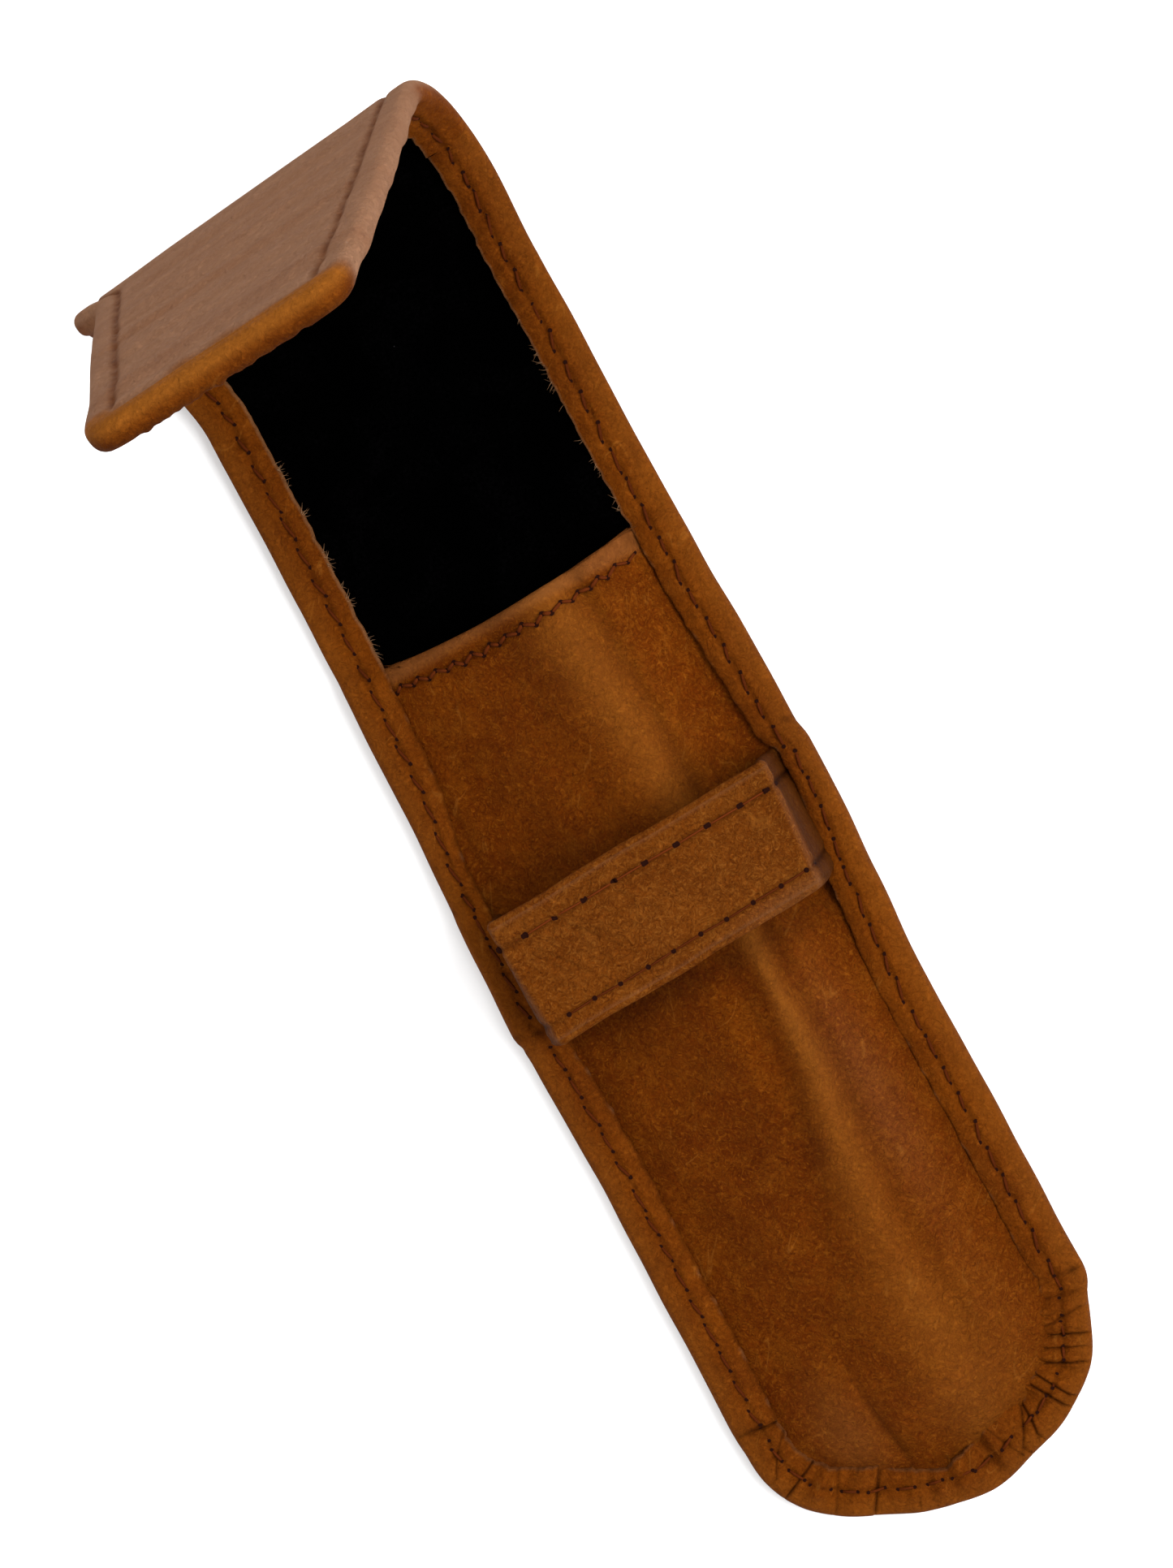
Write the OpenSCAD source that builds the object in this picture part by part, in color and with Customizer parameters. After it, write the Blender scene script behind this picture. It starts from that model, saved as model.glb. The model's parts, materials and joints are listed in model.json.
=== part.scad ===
// Slim one-slot leather case with turned and stitched edges, lying on its back.
// The origin is the middle of the flat back face. +Z leaves the front, -Y is the round toe and
// +Y is the fold from which the open flap stands up.

/* [Body] */
// Length of the flat back, from the toe to where the fold starts to rise
back_len = 132; // [124:1:140]
// Width at the toe end
toe_w = 40.4; // [40:0.2:42]
// Width at the fold
top_w = 39.4; // [39:0.2:41]
// Length of the round toe
toe_len = 16.7; // [15:0.1:19]
// Thickness of the outer leather
leather_t = 1.0; // [0.9:0.05:1.1]
// Thickness of the lining glued inside the back
lining_t = 0.5; // [0.4:0.05:0.6]
// Width of the turned hem along the edges
hem_w = 5; // [4.6:0.1:5.4]

/* [Pocket] */
// Distance from the toe to the mouth of the pocket
mouth_dist = 104; // [98:1:108]
// Thickness of the front leather
front_t = 0.8; // [0.7:0.05:0.9]
// Rise of the front leather above its stitched rim
pocket_rise = 7.5; // [6:0.1:7.7]
// Sideways place of the crest of the front
crest_x = 3; // [0:0.5:4]
// How far the middle of the mouth sags towards the toe
mouth_bow = 1.25; // [0:0.25:2]

/* [Keeper band] */
// Distance from the toe to the lower edge of the band
band_low = 62.3; // [58:0.1:63]
// Width of the band along the case
band_w = 14.2; // [12:0.1:14.4]
// Span of the band across its top
band_span = 31.3; // [30.5:0.1:32]
// Thickness of the leather turned under along the band's edges
band_turn_t = 0.8; // [0.7:0.05:0.9]
// Room between the tucked flap and the band above it
band_room = 0.8; // [0.6:0.1:1.2]

/* [Flap] */
// Length of the straight tongue beyond the fold
flap_len = 54; // [48:1:54]
// Width of the tongue where the fold ends
flap_root_w = 38.5; // [38:0.1:39.4]
// Width of the tongue at its tip
flap_tip_w = 26.5; // [24:0.1:27]
// Radius of the tip's corners
tip_r = 4; // [3:0.5:6]
// Height of the closed flap's outer face above the back
closed_h = 13.4; // [13.3:0.1:14]
// Radius of the open fold, on its outer face
fold_r = 16.5; // [15:0.5:18]
// Angle that the open flap stands at, counted from lying flat behind the case
fold_angle = 110; // [100:1:115]
// Angle between the fold line and the case's width
fold_skew = 4.5; // [0:0.5:5]

/* [Stitching] */
// Distance between stitches along the hems
hem_pitch = 3.2; // [3:0.1:4]
// Distance between stitches in the band's upper row
band_pitch = 3.65; // [3:0.05:4]
// Length of one stitch
stitch_len = 2.2; // [1.8:0.1:2.4]
// Width of the thread
thread_w = 0.5; // [0.4:0.05:0.6]
// Height that a stitch stands above the leather
thread_h = 0.25; // [0.2:0.05:0.3]

/* [Hidden] */

tan_leather = [0.60, 0.34, 0.13];
worn_leather = [0.68, 0.44, 0.22];
black_velvet = [0.05, 0.05, 0.05];
red_thread = [0.30, 0.10, 0.05];

toe_y = -back_len / 2;
toe_centre_y = toe_y + toe_len;
fold_y = back_len / 2;
mouth_y = toe_y + mouth_dist;
band_y0 = toe_y + band_low;
band_y1 = band_y0 + band_w;
tip_y = fold_y - flap_len;

inside_z = leather_t + lining_t;
front_z = inside_z + front_t;
seam_inset = 3;

function smooth(t) = let(c = min(max(t, 0), 1)) c * c * (3 - 2 * c);

// Half width of the case at a place along it, past the round toe
function half_w(y) =
    toe_w / 2 + (top_w - toe_w) / 2 * (y - toe_centre_y) / (fold_y - toe_centre_y);

// Outline of the back seen from the front, moved inwards by inset
toe_steps = 24;
function outline(inset) = [
    for (i = [0 : toe_steps]) let(a = 180 + 180 * i / toe_steps)
        [(toe_w / 2 - inset) * cos(a), toe_centre_y + (toe_len - inset) * sin(a)],
    [top_w / 2 - inset, fold_y],
    [inset - top_w / 2, fold_y]
];

module outline_plate(inset, z, t) {
    translate([0, 0, z])
        linear_extrude(t)
            polygon(outline(inset));
}

// Everything between two places along the case, on both sides of its middle or on one
past = 1;
tall = 40;

module between_y(y0, y1, side = 0) {
    x0 = side > 0 ? 0 : -toe_w;
    x1 = side < 0 ? 0 : toe_w;
    translate([x0, y0, -past])
        cube([x1 - x0, y1 - y0, tall]);
}

// Outer wall and flange of an edge turned over at height under
module turned_edge(under) {
    difference() {
        outline_plate(0, 0, under + leather_t);
        outline_plate(leather_t, -past, under + past);
        outline_plate(hem_w, -past, tall);
    }
}

module back_leather() {
    color(tan_leather)
        outline_plate(leather_t, 0, leather_t);
}

module back_lining() {
    color(black_velvet)
        outline_plate(leather_t, leather_t, lining_t);
}

// The hem is lifted over the band's foot and gives way where the band rises through it
foot_t = 0.8;
foot_x = 18.5;
foot_gap = 0.2;
wall_x = 17.4;
lift_margin = 0.8;

module side_hem(side) {
    color(tan_leather)
        difference() {
            union() {
                intersection() {
                    turned_edge(front_z);
                    between_y(toe_centre_y, mouth_y, side);
                }
                intersection() {
                    turned_edge(inside_z);
                    between_y(mouth_y, fold_y, side);
                }
                intersection() {
                    difference() {
                        outline_plate(0, front_z, foot_t + leather_t);
                        outline_plate(hem_w, 0, tall);
                    }
                    between_y(band_y0 - lift_margin, band_y1 + lift_margin, side);
                }
            }
            translate([-foot_x, band_y0, front_z])
                cube([2 * foot_x, band_w, foot_t]);
            translate([-wall_x, band_y0, front_z])
                cube([2 * wall_x, band_w, tall]);
        }
}

// The toe's hem is notched into tabs that are pleated round the curve
tab_count = 9;
notch_w = 0.3;
whole_rim = 2;

module toe_hem() {
    color(tan_leather)
        difference() {
            intersection() {
                turned_edge(front_z);
                between_y(toe_y - past, toe_centre_y);
            }
            for (i = [1 : tab_count])
                translate([0, toe_centre_y, front_z])
                    rotate(180 + 180 * i / (tab_count + 1))
                        translate([toe_len - 2 * hem_w, -notch_w / 2, -past])
                            cube([2 * hem_w - whole_rim, notch_w, leather_t + 2 * past]);
        }
}

// Front leather: a dome that leaves the hem's inner edge and crests beside the middle
hem_gap = 0.2;
rim_inset = leather_t + 0.3;
toe_rise = 0.8;
full_rise_dist = 40;

function rim_half_w(y) = y < toe_centre_y
    ? (toe_w / 2 - rim_inset) * sqrt(1 - pow((toe_centre_y - y) / (toe_len - rim_inset), 2))
    : half_w(y) - rim_inset;

function dome_edge(y) = half_w(max(y, toe_centre_y)) - hem_w - hem_gap;

function dome_place(x, y) =
    let(
        a = dome_edge(y),
        along = max(0, toe_centre_y - y) / (toe_len - hem_w - hem_gap),
        across = (x - crest_x * max(0, 1 - pow(x / a, 2) - along * along)) / a
    )
    sqrt(across * across + along * along);

function rise(x, y) =
    let(e = dome_place(x, y))
    e >= 1 ? 0
    : pocket_rise * cos(90 * e)
        * (toe_rise + (1 - toe_rise) * smooth((y - toe_centre_y) / full_rise_dist));

function mouth_line(x) = mouth_y - mouth_bow * max(0, 1 - pow(x / dome_edge(mouth_y), 2));

// Closed sheet over a grid of places [x, y], with the height and the thickness at each
module sheet(places, tops, depths) {
    rows = len(places);
    cols = len(places[0]);
    n = rows * cols;
    polyhedron(
        points = [
            for (j = [0 : rows - 1]) for (i = [0 : cols - 1])
                [places[j][i].x, places[j][i].y, tops[j][i]],
            for (j = [0 : rows - 1]) for (i = [0 : cols - 1])
                [places[j][i].x, places[j][i].y, tops[j][i] - depths[j][i]]
        ],
        faces = [
            for (j = [0 : rows - 2]) for (i = [0 : cols - 2])
                let(a = j * cols + i, b = a + 1, c = b + cols, d = a + cols)
                each [[a, d, c], [a, c, b], [n + a, n + c, n + d], [n + a, n + b, n + c]],
            for (i = [0 : cols - 2])
                let(a = i, c = (rows - 1) * cols + i)
                each [
                    [a, a + 1, n + a + 1], [a, n + a + 1, n + a],
                    [c + 1, c, n + c], [c + 1, n + c, n + c + 1]
                ],
            for (j = [0 : rows - 2])
                let(a = j * cols, b = j * cols + cols - 1)
                each [
                    [a + cols, a, n + a], [a + cols, n + a, n + a + cols],
                    [b, b + cols, n + b + cols], [b, n + b + cols, n + b]
                ]
        ]
    );
}

front_cols = 15;
front_rows = 18;
first_row_inset = 0.6;
least_share = 0.3;
row_crowding = 1.3;

function dome_half_w(y) =
    let(along = max(0, toe_centre_y - y) / (toe_len - hem_w - hem_gap))
    max(dome_edge(y) * sqrt(max(0, 1 - along * along)), least_share * rim_half_w(y));

function front_x(i, y) = i == 0 ? -rim_half_w(y)
    : i == front_cols ? rim_half_w(y)
    : dome_half_w(y) * (2 * (i - 1) / (front_cols - 2) - 1);

first_dome_y = toe_y + hem_w + hem_gap / 2;

function front_row_y(j) = j == 0
    ? toe_y + rim_inset + first_row_inset
    : first_dome_y + (mouth_y - first_dome_y) * pow((j - 1) / (front_rows - 1), row_crowding);

function front_place(i, j) =
    let(
        y = front_row_y(j),
        x = front_x(i, y),
        share = max(0, y - first_dome_y) / (mouth_y - first_dome_y)
    )
    [x, y + (mouth_line(x) - mouth_y) * share];

module front_leather() {
    places = [for (j = [0 : front_rows]) [for (i = [0 : front_cols]) front_place(i, j)]];
    color(tan_leather)
        sheet(
            places,
            [for (r = places) [for (p = r) front_z + rise(p.x, p.y)]],
            [for (r = places) [for (p = r) front_t]]
        );
}

// Strip that follows the front's underside between two distances below the mouth
lining_gap = 0.1;
thinnest = 0.6;

module under_front(far, near, rows, t) {
    cols = 12;
    reach = 0.8;
    places = [
        for (j = [0 : rows]) [
            for (i = [0 : cols])
                let(x = (2 * i / cols - 1) * reach * dome_edge(mouth_y))
                [x, mouth_line(x) - far + (far - near) * j / rows]
        ]
    ];
    sheet(
        places,
        [for (r = places) [for (p = r) inside_z + rise(p.x, p.y) - lining_gap]],
        [for (r = places) [for (p = r) min(t, thinnest * rise(p.x, p.y))]]
    );
}

turn_w = 5;
front_lining_t = 0.4;
edge_gap = 0.2;

module front_lining() {
    color(black_velvet)
        under_front(mouth_dist - toe_len - past, turn_w + edge_gap, 14, front_lining_t);
}

module mouth_hem() {
    color(tan_leather)
        under_front(turn_w, edge_gap, 3, band_turn_t);
}

// Path of the band across the case, from wall foot to wall foot, moved inwards by d
band_t = 1.0;
band_top = closed_h + band_room + band_turn_t + band_t;
band_corner = 2;
band_lean = 1.5;

function band_line(d, z_end) =
    let(
        half = band_span / 2 - d,
        top = band_top - d,
        r = band_corner - d,
        foot = half + band_lean * (top - r - z_end) / (band_top - band_corner - front_z)
    )
    concat(
        [[foot, z_end]],
        [for (a = [0 : 15 : 90]) [half - r + r * cos(a), top - r + r * sin(a)]],
        [for (a = [90 : 15 : 180]) [-half + r + r * cos(a), top - r + r * sin(a)]],
        [[-foot, z_end]]
    );

function reversed(p) = [for (i = [len(p) - 1 : -1 : 0]) p[i]];

// A cross-section drawn in X and Z, carried along Y from y0 by w
module across_case(y0, w) {
    translate([0, y0 + w, 0])
        rotate([90, 0, 0])
            linear_extrude(w)
                children();
}

module keeper_band() {
    foot_in = band_line(band_t, front_z)[0].x;
    color(tan_leather)
        across_case(band_y0, band_w)
            union() {
                polygon(concat(band_line(0, front_z), reversed(band_line(band_t, front_z))));
                for (s = [-1, 1])
                    translate([s * (foot_in + foot_x - foot_gap) / 2, front_z + foot_t / 2])
                        square([foot_x - foot_gap - foot_in, foot_t], center = true);
            }
}

// The turned edges lie under the band's flat top and are pared away on its walls
band_turn_w = 4.5;

module band_turn(y0) {
    reach = band_span / 2 - band_corner;
    color(tan_leather)
        translate([-reach, y0, band_top - band_t - band_turn_t])
            cube([2 * reach, band_turn_w, band_turn_t]);
}

// One stitch lying on a flat face, along Y
module stitch(length = stitch_len) {
    translate([-thread_w / 2, -length / 2, 0])
        cube([thread_w, length, thread_h]);
}

stitch_slant = 12;
lift_inset = 1.5;
stitch_room = 0.1;

module seam_side(side) {
    count = floor((fold_y - toe_centre_y - hem_pitch) / hem_pitch);
    color(red_thread)
        for (i = [0 : count]) {
            y = toe_centre_y + hem_pitch * (i + 0.6);
            half_len = stitch_len / 2 + stitch_room;
            past_lift = min(abs(y - band_y0 + lift_margin), abs(y - band_y1 - lift_margin));
            on_lift = y > band_y0 - lift_margin && y < band_y1 + lift_margin;
            x = half_w(y) - (on_lift ? lift_inset : seam_inset);
            z = on_lift ? front_z + foot_t : (y < mouth_y ? front_z : inside_z);
            if (past_lift > half_len && abs(y - mouth_y) > half_len && y < fold_y - half_len)
                translate([side * x, y, z + leather_t])
                    rotate(side * (on_lift ? 0 : stitch_slant))
                        stitch();
        }
}

toe_stitches = 14;
short_stitch = 1.8;

module seam_toe() {
    a = toe_w / 2 - seam_inset;
    b = toe_len - seam_inset;
    color(red_thread)
        for (i = [1 : toe_stitches]) {
            t = 180 + 180 * (i - 0.5) / (toe_stitches + 0.5);
            translate([a * cos(t), toe_centre_y + b * sin(t), front_z + leather_t])
                rotate(atan2(b * cos(t), -a * sin(t)) - 90 + stitch_slant)
                    stitch(short_stitch);
        }
}

zigzag = 24;
mouth_seam_inset = 2.6;
mouth_stitch_len = 1.9;
mouth_pitch = 2.1;

module seam_mouth() {
    half_count = 6;
    dx = 0.5;
    color(red_thread)
        for (i = [-half_count : half_count]) {
            x = i * mouth_pitch;
            y = mouth_line(x) - mouth_seam_inset;
            slope = atan((rise(x + dx, y) - rise(x - dx, y)) / (2 * dx));
            translate([x, y, front_z + rise(x, y) + thread_h])
                rotate([0, -slope, 0])
                    rotate(90 + (i % 2 == 0 ? zigzag : -zigzag))
                        stitch(mouth_stitch_len);
        }
}

band_seam_inset = 2.5;
stitch_share = 0.8;

module band_seam(y, pitch) {
    count = floor((band_span / 2 - band_corner) / pitch);
    color(red_thread)
        for (i = [-count : count - 1])
            translate([(i + 0.5) * pitch, y, band_top])
                rotate(90)
                    stitch(pitch * stitch_share);
}

// The flap is drawn closed, lying over the front, and turned up about the hinge of its fold
hinge_z = closed_h / 2;
hinge_y = fold_y + (fold_r - hinge_z) * tan(fold_angle / 2);
hinge = [0, hinge_y, hinge_z];
hinge_axis = [cos(fold_skew), sin(fold_skew), 0];
open_turn = 180 - fold_angle;

module opened() {
    translate(hinge)
        rotate(a = -open_turn, v = hinge_axis)
            translate(-hinge)
                children();
}

function turned(p, axis, a) =
    let(q = p - hinge)
    hinge + q * cos(a) + cross(axis, q) * sin(a) + axis * (axis * q) * (1 - cos(a));

least_tip_r = 0.4;

function tongue(inset) =
    let(
        r = max(tip_r - inset, least_tip_r),
        cx = flap_tip_w / 2 - inset - r,
        cy = tip_y + inset + r
    )
    concat(
        [[inset - flap_root_w / 2, fold_y]],
        [for (a = [180 : 15 : 270]) [-cx + r * cos(a), cy + r * sin(a)]],
        [for (a = [270 : 15 : 360]) [cx + r * cos(a), cy + r * sin(a)]],
        [[flap_root_w / 2 - inset, fold_y]]
    );

module tongue_plate(inset, depth, t) {
    translate([0, 0, closed_h - depth - t])
        linear_extrude(t)
            polygon(tongue(inset));
}

module flap_leather() {
    color(worn_leather)
        opened()
            tongue_plate(leather_t, 0, leather_t);
}

module flap_lining() {
    color(black_velvet)
        opened()
            tongue_plate(leather_t, leather_t, lining_t);
}

module flap_hem(y0, y1, side = 0) {
    color(worn_leather)
        opened()
            intersection() {
                difference() {
                    tongue_plate(0, 0, inside_z + leather_t);
                    tongue_plate(leather_t, -past, inside_z + past);
                    tongue_plate(hem_w, -past, inside_z + leather_t + 2 * past);
                }
                between_y(y0, y1, side);
            }
}

module flap_side_seam(side) {
    x0 = flap_tip_w / 2 - seam_inset;
    x1 = flap_root_w / 2 - seam_inset;
    lean = atan((x1 - x0) / flap_len);
    count = floor((flap_len - tip_r - hem_pitch) / hem_pitch);
    color(red_thread)
        opened()
            for (i = [0 : count - 1]) {
                y = tip_y + tip_r + hem_pitch * (i + 0.5);
                x = x0 + (x1 - x0) * (y - tip_y) / flap_len;
                translate([side * x, y, closed_h])
                    rotate(-side * lean)
                        stitch();
            }
}

module flap_tip_seam() {
    count = floor((flap_tip_w / 2 - seam_inset) / hem_pitch);
    color(red_thread)
        opened()
            for (i = [-count : count])
                translate([i * hem_pitch, tip_y + seam_inset, closed_h])
                    rotate(90)
                        stitch();
}

// Fold: a sheet rolled from the flat back up to the open flap. s runs from 0 at the back to 1 at
// the flap, x across, and n is the depth below the outer face
fold_steps = 14;
fold_flare = 1.0;

function fold_half_w(s) =
    top_w / 2 + (flap_root_w - top_w) / 2 * s + fold_flare * pow(sin(180 * s), 2);

function fold_point(s, x, n) =
    let(
        a = fold_angle * s,
        q = [x, fold_y + (fold_r - n) * sin(a), fold_r - (fold_r - n) * cos(a)],
        r = turned(turned(q, [1, 0, 0], open_turn), hinge_axis, -open_turn)
    )
    q + (r - q) * smooth(s);

// Closed solid through rings of points, all of one length
module loft(rings) {
    k = len(rings);
    m = len(rings[0]);
    polyhedron(
        points = [for (r = rings) each r],
        faces = [
            [for (i = [0 : m - 1]) m - 1 - i],
            [for (i = [0 : m - 1]) (k - 1) * m + i],
            for (j = [0 : k - 2]) for (i = [0 : m - 1])
                let(a = j * m + i, b = j * m + (i + 1) % m)
                each [[a, b, b + m], [a, b + m, a + m]]
        ]
    );
}

// Strip of the fold between two depths. Its edges a and b are each [share of the half width,
// distance added to it]
module fold_strip(a, b, n0, n1) {
    loft([
        for (j = [0 : fold_steps])
            let(s = j / fold_steps, w = fold_half_w(s), x0 = a[0] * w + a[1], x1 = b[0] * w + b[1])
            [fold_point(s, x1, n0), fold_point(s, x1, n1), fold_point(s, x0, n1), fold_point(s, x0, n0)]
    ]);
}

module fold_leather() {
    color(worn_leather)
        fold_strip([-1, 0], [1, 0], 0, leather_t);
}

// Bare room that keeps the facets of the bent layers apart
layer_gap = 0.06;

module fold_lining() {
    color(black_velvet)
        fold_strip([-1, leather_t], [1, -leather_t], leather_t + layer_gap, inside_z - layer_gap);
}

hem_top = inside_z + leather_t;

module fold_hem(side) {
    color(worn_leather)
        if (side < 0)
            fold_strip([-1, 0], [-1, hem_w], inside_z, hem_top);
        else
            fold_strip([1, -hem_w], [1, 0], inside_z, hem_top);
}

seam_clear = 0.08;

function fold_stitch_end(s, side) =
    let(
        x = side * (fold_half_w(s) - seam_inset),
        n0 = hem_top + seam_clear,
        n1 = n0 + thread_h
    )
    [
        for (p = [[1, n0], [1, n1], [-1, n1], [-1, n0]])
            fold_point(s, x + p[0] * thread_w / 2, p[1])
    ];

module fold_seam(side) {
    count = floor(fold_r * fold_angle * PI / 180 / hem_pitch);
    half = stitch_len / hem_pitch / 2;
    color(red_thread)
        for (i = [1 : count])
            loft([
                fold_stitch_end((i - 0.5 - half) / count, side),
                fold_stitch_end((i - 0.5 + half) / count, side)
            ]);
}

back_leather();
back_lining();
side_hem(-1);  // side_hem_left
side_hem(1);  // side_hem_right
toe_hem();
front_leather();
front_lining();
mouth_hem();
keeper_band();
band_turn(band_y1 - band_turn_w);  // band_hem_upper
band_turn(band_y0);  // band_hem_lower
seam_side(-1);  // seam_left
seam_side(1);  // seam_right
seam_toe();
seam_mouth();
band_seam(band_y1 - band_seam_inset, band_pitch);  // band_seam_upper
band_seam(band_y0 + band_seam_inset, hem_pitch);  // band_seam_lower
fold_leather();
fold_lining();
fold_hem(-1);  // fold_hem_left
fold_hem(1);  // fold_hem_right
fold_seam(-1);  // fold_seam_left
fold_seam(1);  // fold_seam_right
flap_leather();
flap_lining();
flap_hem(tip_y + hem_w, fold_y, -1);  // flap_hem_left
flap_hem(tip_y + hem_w, fold_y, 1);  // flap_hem_right
flap_hem(tip_y - past, tip_y + hem_w);  // flap_hem_tip
flap_side_seam(-1);  // flap_seam_left
flap_side_seam(1);  // flap_seam_right
flap_tip_seam();  // flap_seam_tip
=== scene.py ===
import json
import math

import bpy
import numpy as np
from mathutils import Matrix, Vector


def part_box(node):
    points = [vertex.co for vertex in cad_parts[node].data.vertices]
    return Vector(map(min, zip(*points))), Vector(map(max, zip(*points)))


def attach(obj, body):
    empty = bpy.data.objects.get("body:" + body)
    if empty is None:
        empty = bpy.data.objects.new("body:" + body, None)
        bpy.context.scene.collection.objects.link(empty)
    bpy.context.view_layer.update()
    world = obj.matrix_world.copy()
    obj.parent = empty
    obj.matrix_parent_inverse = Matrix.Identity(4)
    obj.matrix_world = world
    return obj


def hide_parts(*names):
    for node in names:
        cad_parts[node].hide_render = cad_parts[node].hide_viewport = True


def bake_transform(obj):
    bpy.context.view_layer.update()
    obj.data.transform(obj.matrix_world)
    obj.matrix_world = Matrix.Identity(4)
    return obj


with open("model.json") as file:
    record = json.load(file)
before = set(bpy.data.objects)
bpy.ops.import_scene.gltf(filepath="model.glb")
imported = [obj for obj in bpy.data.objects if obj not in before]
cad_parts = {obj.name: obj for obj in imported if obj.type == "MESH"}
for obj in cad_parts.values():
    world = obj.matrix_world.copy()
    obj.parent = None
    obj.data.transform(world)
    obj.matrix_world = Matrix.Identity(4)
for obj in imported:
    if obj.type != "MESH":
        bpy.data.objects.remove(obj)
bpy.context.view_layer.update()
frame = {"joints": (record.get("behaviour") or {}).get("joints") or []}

# ---------------------------------------------------------------------------------------------
# The camera stands over the front of the case, a little to its right, with the toe turned to the
# lower right of the frame.
look_at = Vector((-0.0018, 0.0174, 0.0))
camera_at = look_at + Vector((0.0414, 0.0059, 0.3374))
ahead = (look_at - camera_at).normalized()
upwards = Vector((0.4772, 0.8788, 0.0))
rightwards = ahead.cross(upwards).normalized()
upwards = rightwards.cross(ahead)
lens = bpy.data.cameras.new("camera")
lens.lens = 76.0
lens.sensor_width = 36.0
lens.clip_start, lens.clip_end = 0.01, 10.0
camera = bpy.data.objects.new("camera", lens)
camera.matrix_world = Matrix([[*row] for row in zip(rightwards, upwards, -ahead)]).to_4x4()
camera.matrix_world.translation = camera_at
bpy.context.collection.objects.link(camera)
bpy.context.scene.camera = camera


# ---------------------------------------------------------------------------------------------
# The studio: a pale matt table in a white room, a soft box high on the right of the frame and a
# larger, weaker one high behind the fold.
class Mask:
    """A number or colour that varies over a surface: one node socket, on which + - and * add
    Math nodes, size its absolute value and between a smooth step."""

    def __init__(self, finish, socket):
        self.finish, self.socket = finish, socket

    def maths(self, operation, *values):
        """A Math node on the values, each a number or a Mask."""
        return self.finish.node("ShaderNodeMath", {"operation": operation}, dict(enumerate(values)))

    def __add__(self, other):
        return self.maths("ADD", self, other)

    def __sub__(self, other):
        return self.maths("SUBTRACT", self, other)

    def __rsub__(self, other):
        return self.maths("SUBTRACT", other, self)

    def __mul__(self, other):
        return self.maths("MULTIPLY", self, other)

    __radd__ = __add__
    __rmul__ = __mul__

    def between(self, low, high):
        """0 below low, 1 above high and smooth in between."""
        settings = {"interpolation_type": "SMOOTHSTEP"}
        return self.finish.node("ShaderNodeMapRange", settings, {0: self, 1: low, 2: high})

    def size(self):
        """Itself without its sign."""
        return self.maths("ABSOLUTE", self)


class Finish:
    """A material whose nodes are written as expressions."""

    def __init__(self, name):
        self.material = bpy.data.materials.new(name)
        self.material.use_nodes = True
        self.tree = self.material.node_tree
        self.shader = self.tree.nodes["Principled BSDF"]
        self.place = self.node("ShaderNodeTexCoord", {}, {}, 3)

    def node(self, kind, settings, sockets, out=0):
        """Any node: its settings first, then its sockets, each a value or a Mask to link.
        Returns its output numbered out."""
        made = self.tree.nodes.new(kind)
        for key, value in settings.items():
            setattr(made, key, value)
        for key, value in sockets.items():
            self.set(made.inputs[key], value)
        return Mask(self, made.outputs[out])

    def set(self, socket, value):
        """Links a Mask to a socket, or sets the socket's own value."""
        if isinstance(value, Mask):
            self.tree.links.new(value.socket, socket)
        else:
            socket.default_value = value

    def surface(self, **values):
        """Sets the shader's sockets, written with _ for a space."""
        for key, value in values.items():
            self.set(self.shader.inputs[key.replace("_", " ")], value)
        return self.material

    def value(self, name):
        """The number that the piece's mesh holds under that name."""
        return self.node("ShaderNodeAttribute", {"attribute_name": name}, {}, 2)

    def noise(self, per_metre, detail=3.0, roughness=0.55, distortion=0.0, place=None):
        """Cloudy noise round 0.5, so many clouds to the metre."""
        sockets = {
            "Vector": place or self.place, "Scale": per_metre, "Detail": detail,
            "Roughness": roughness, "Distortion": distortion,
        }
        return self.node("ShaderNodeTexNoise", {}, sockets)

    def cells(self, per_metre, feature="F1"):
        """Distance from the nearest of scattered points, so many to the metre."""
        sockets = {"Vector": self.place, "Scale": per_metre}
        return self.node("ShaderNodeTexVoronoi", {"feature": feature}, sockets)

    def blended(self, share, a, b):
        """Colour a, going over to colour b by share."""
        return self.node("ShaderNodeMix", {"data_type": "RGBA"}, {0: share, 6: a, 7: b}, 2)

    def turned(self, degrees, density):
        """Place on the piece along axes turned about +Z, times the pattern's density on each."""
        size = tuple(1 / k for k in density)
        sockets = {0: self.place, 2: (0, 0, math.radians(degrees)), 3: size}
        return self.node("ShaderNodeMapping", {"vector_type": "TEXTURE"}, sockets)

    def bumps(self, *layers):
        """Bump nodes one on another: each layer is (height, its size in metres)."""
        normal = None
        for height, size in layers:
            sockets = {"Height": height, "Distance": size, "Strength": 1.0}
            if normal:
                sockets["Normal"] = normal
            normal = self.node("ShaderNodeBump", {}, sockets)
        return normal


def table_finish():
    """Matt pale board with a barely seen mottle."""
    f = Finish("pale_table")
    mottle = f.noise(14.0)
    colour = f.blended(mottle, (0.90, 0.90, 0.90, 1), (0.93, 0.93, 0.93, 1))
    return f.surface(Base_Color=colour, Roughness=0.9)


board = bpy.data.meshes.new("table")
table_half, table_z = 2.0, -0.0003
board.from_pydata(
    [(x * table_half, y * table_half, table_z) for x, y in ((-1, -1), (1, -1), (1, 1), (-1, 1))],
    [],
    [(0, 1, 2, 3)],
)
board.materials.append(table_finish())
table = bpy.data.objects.new("table", board)
bpy.context.collection.objects.link(table)


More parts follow.
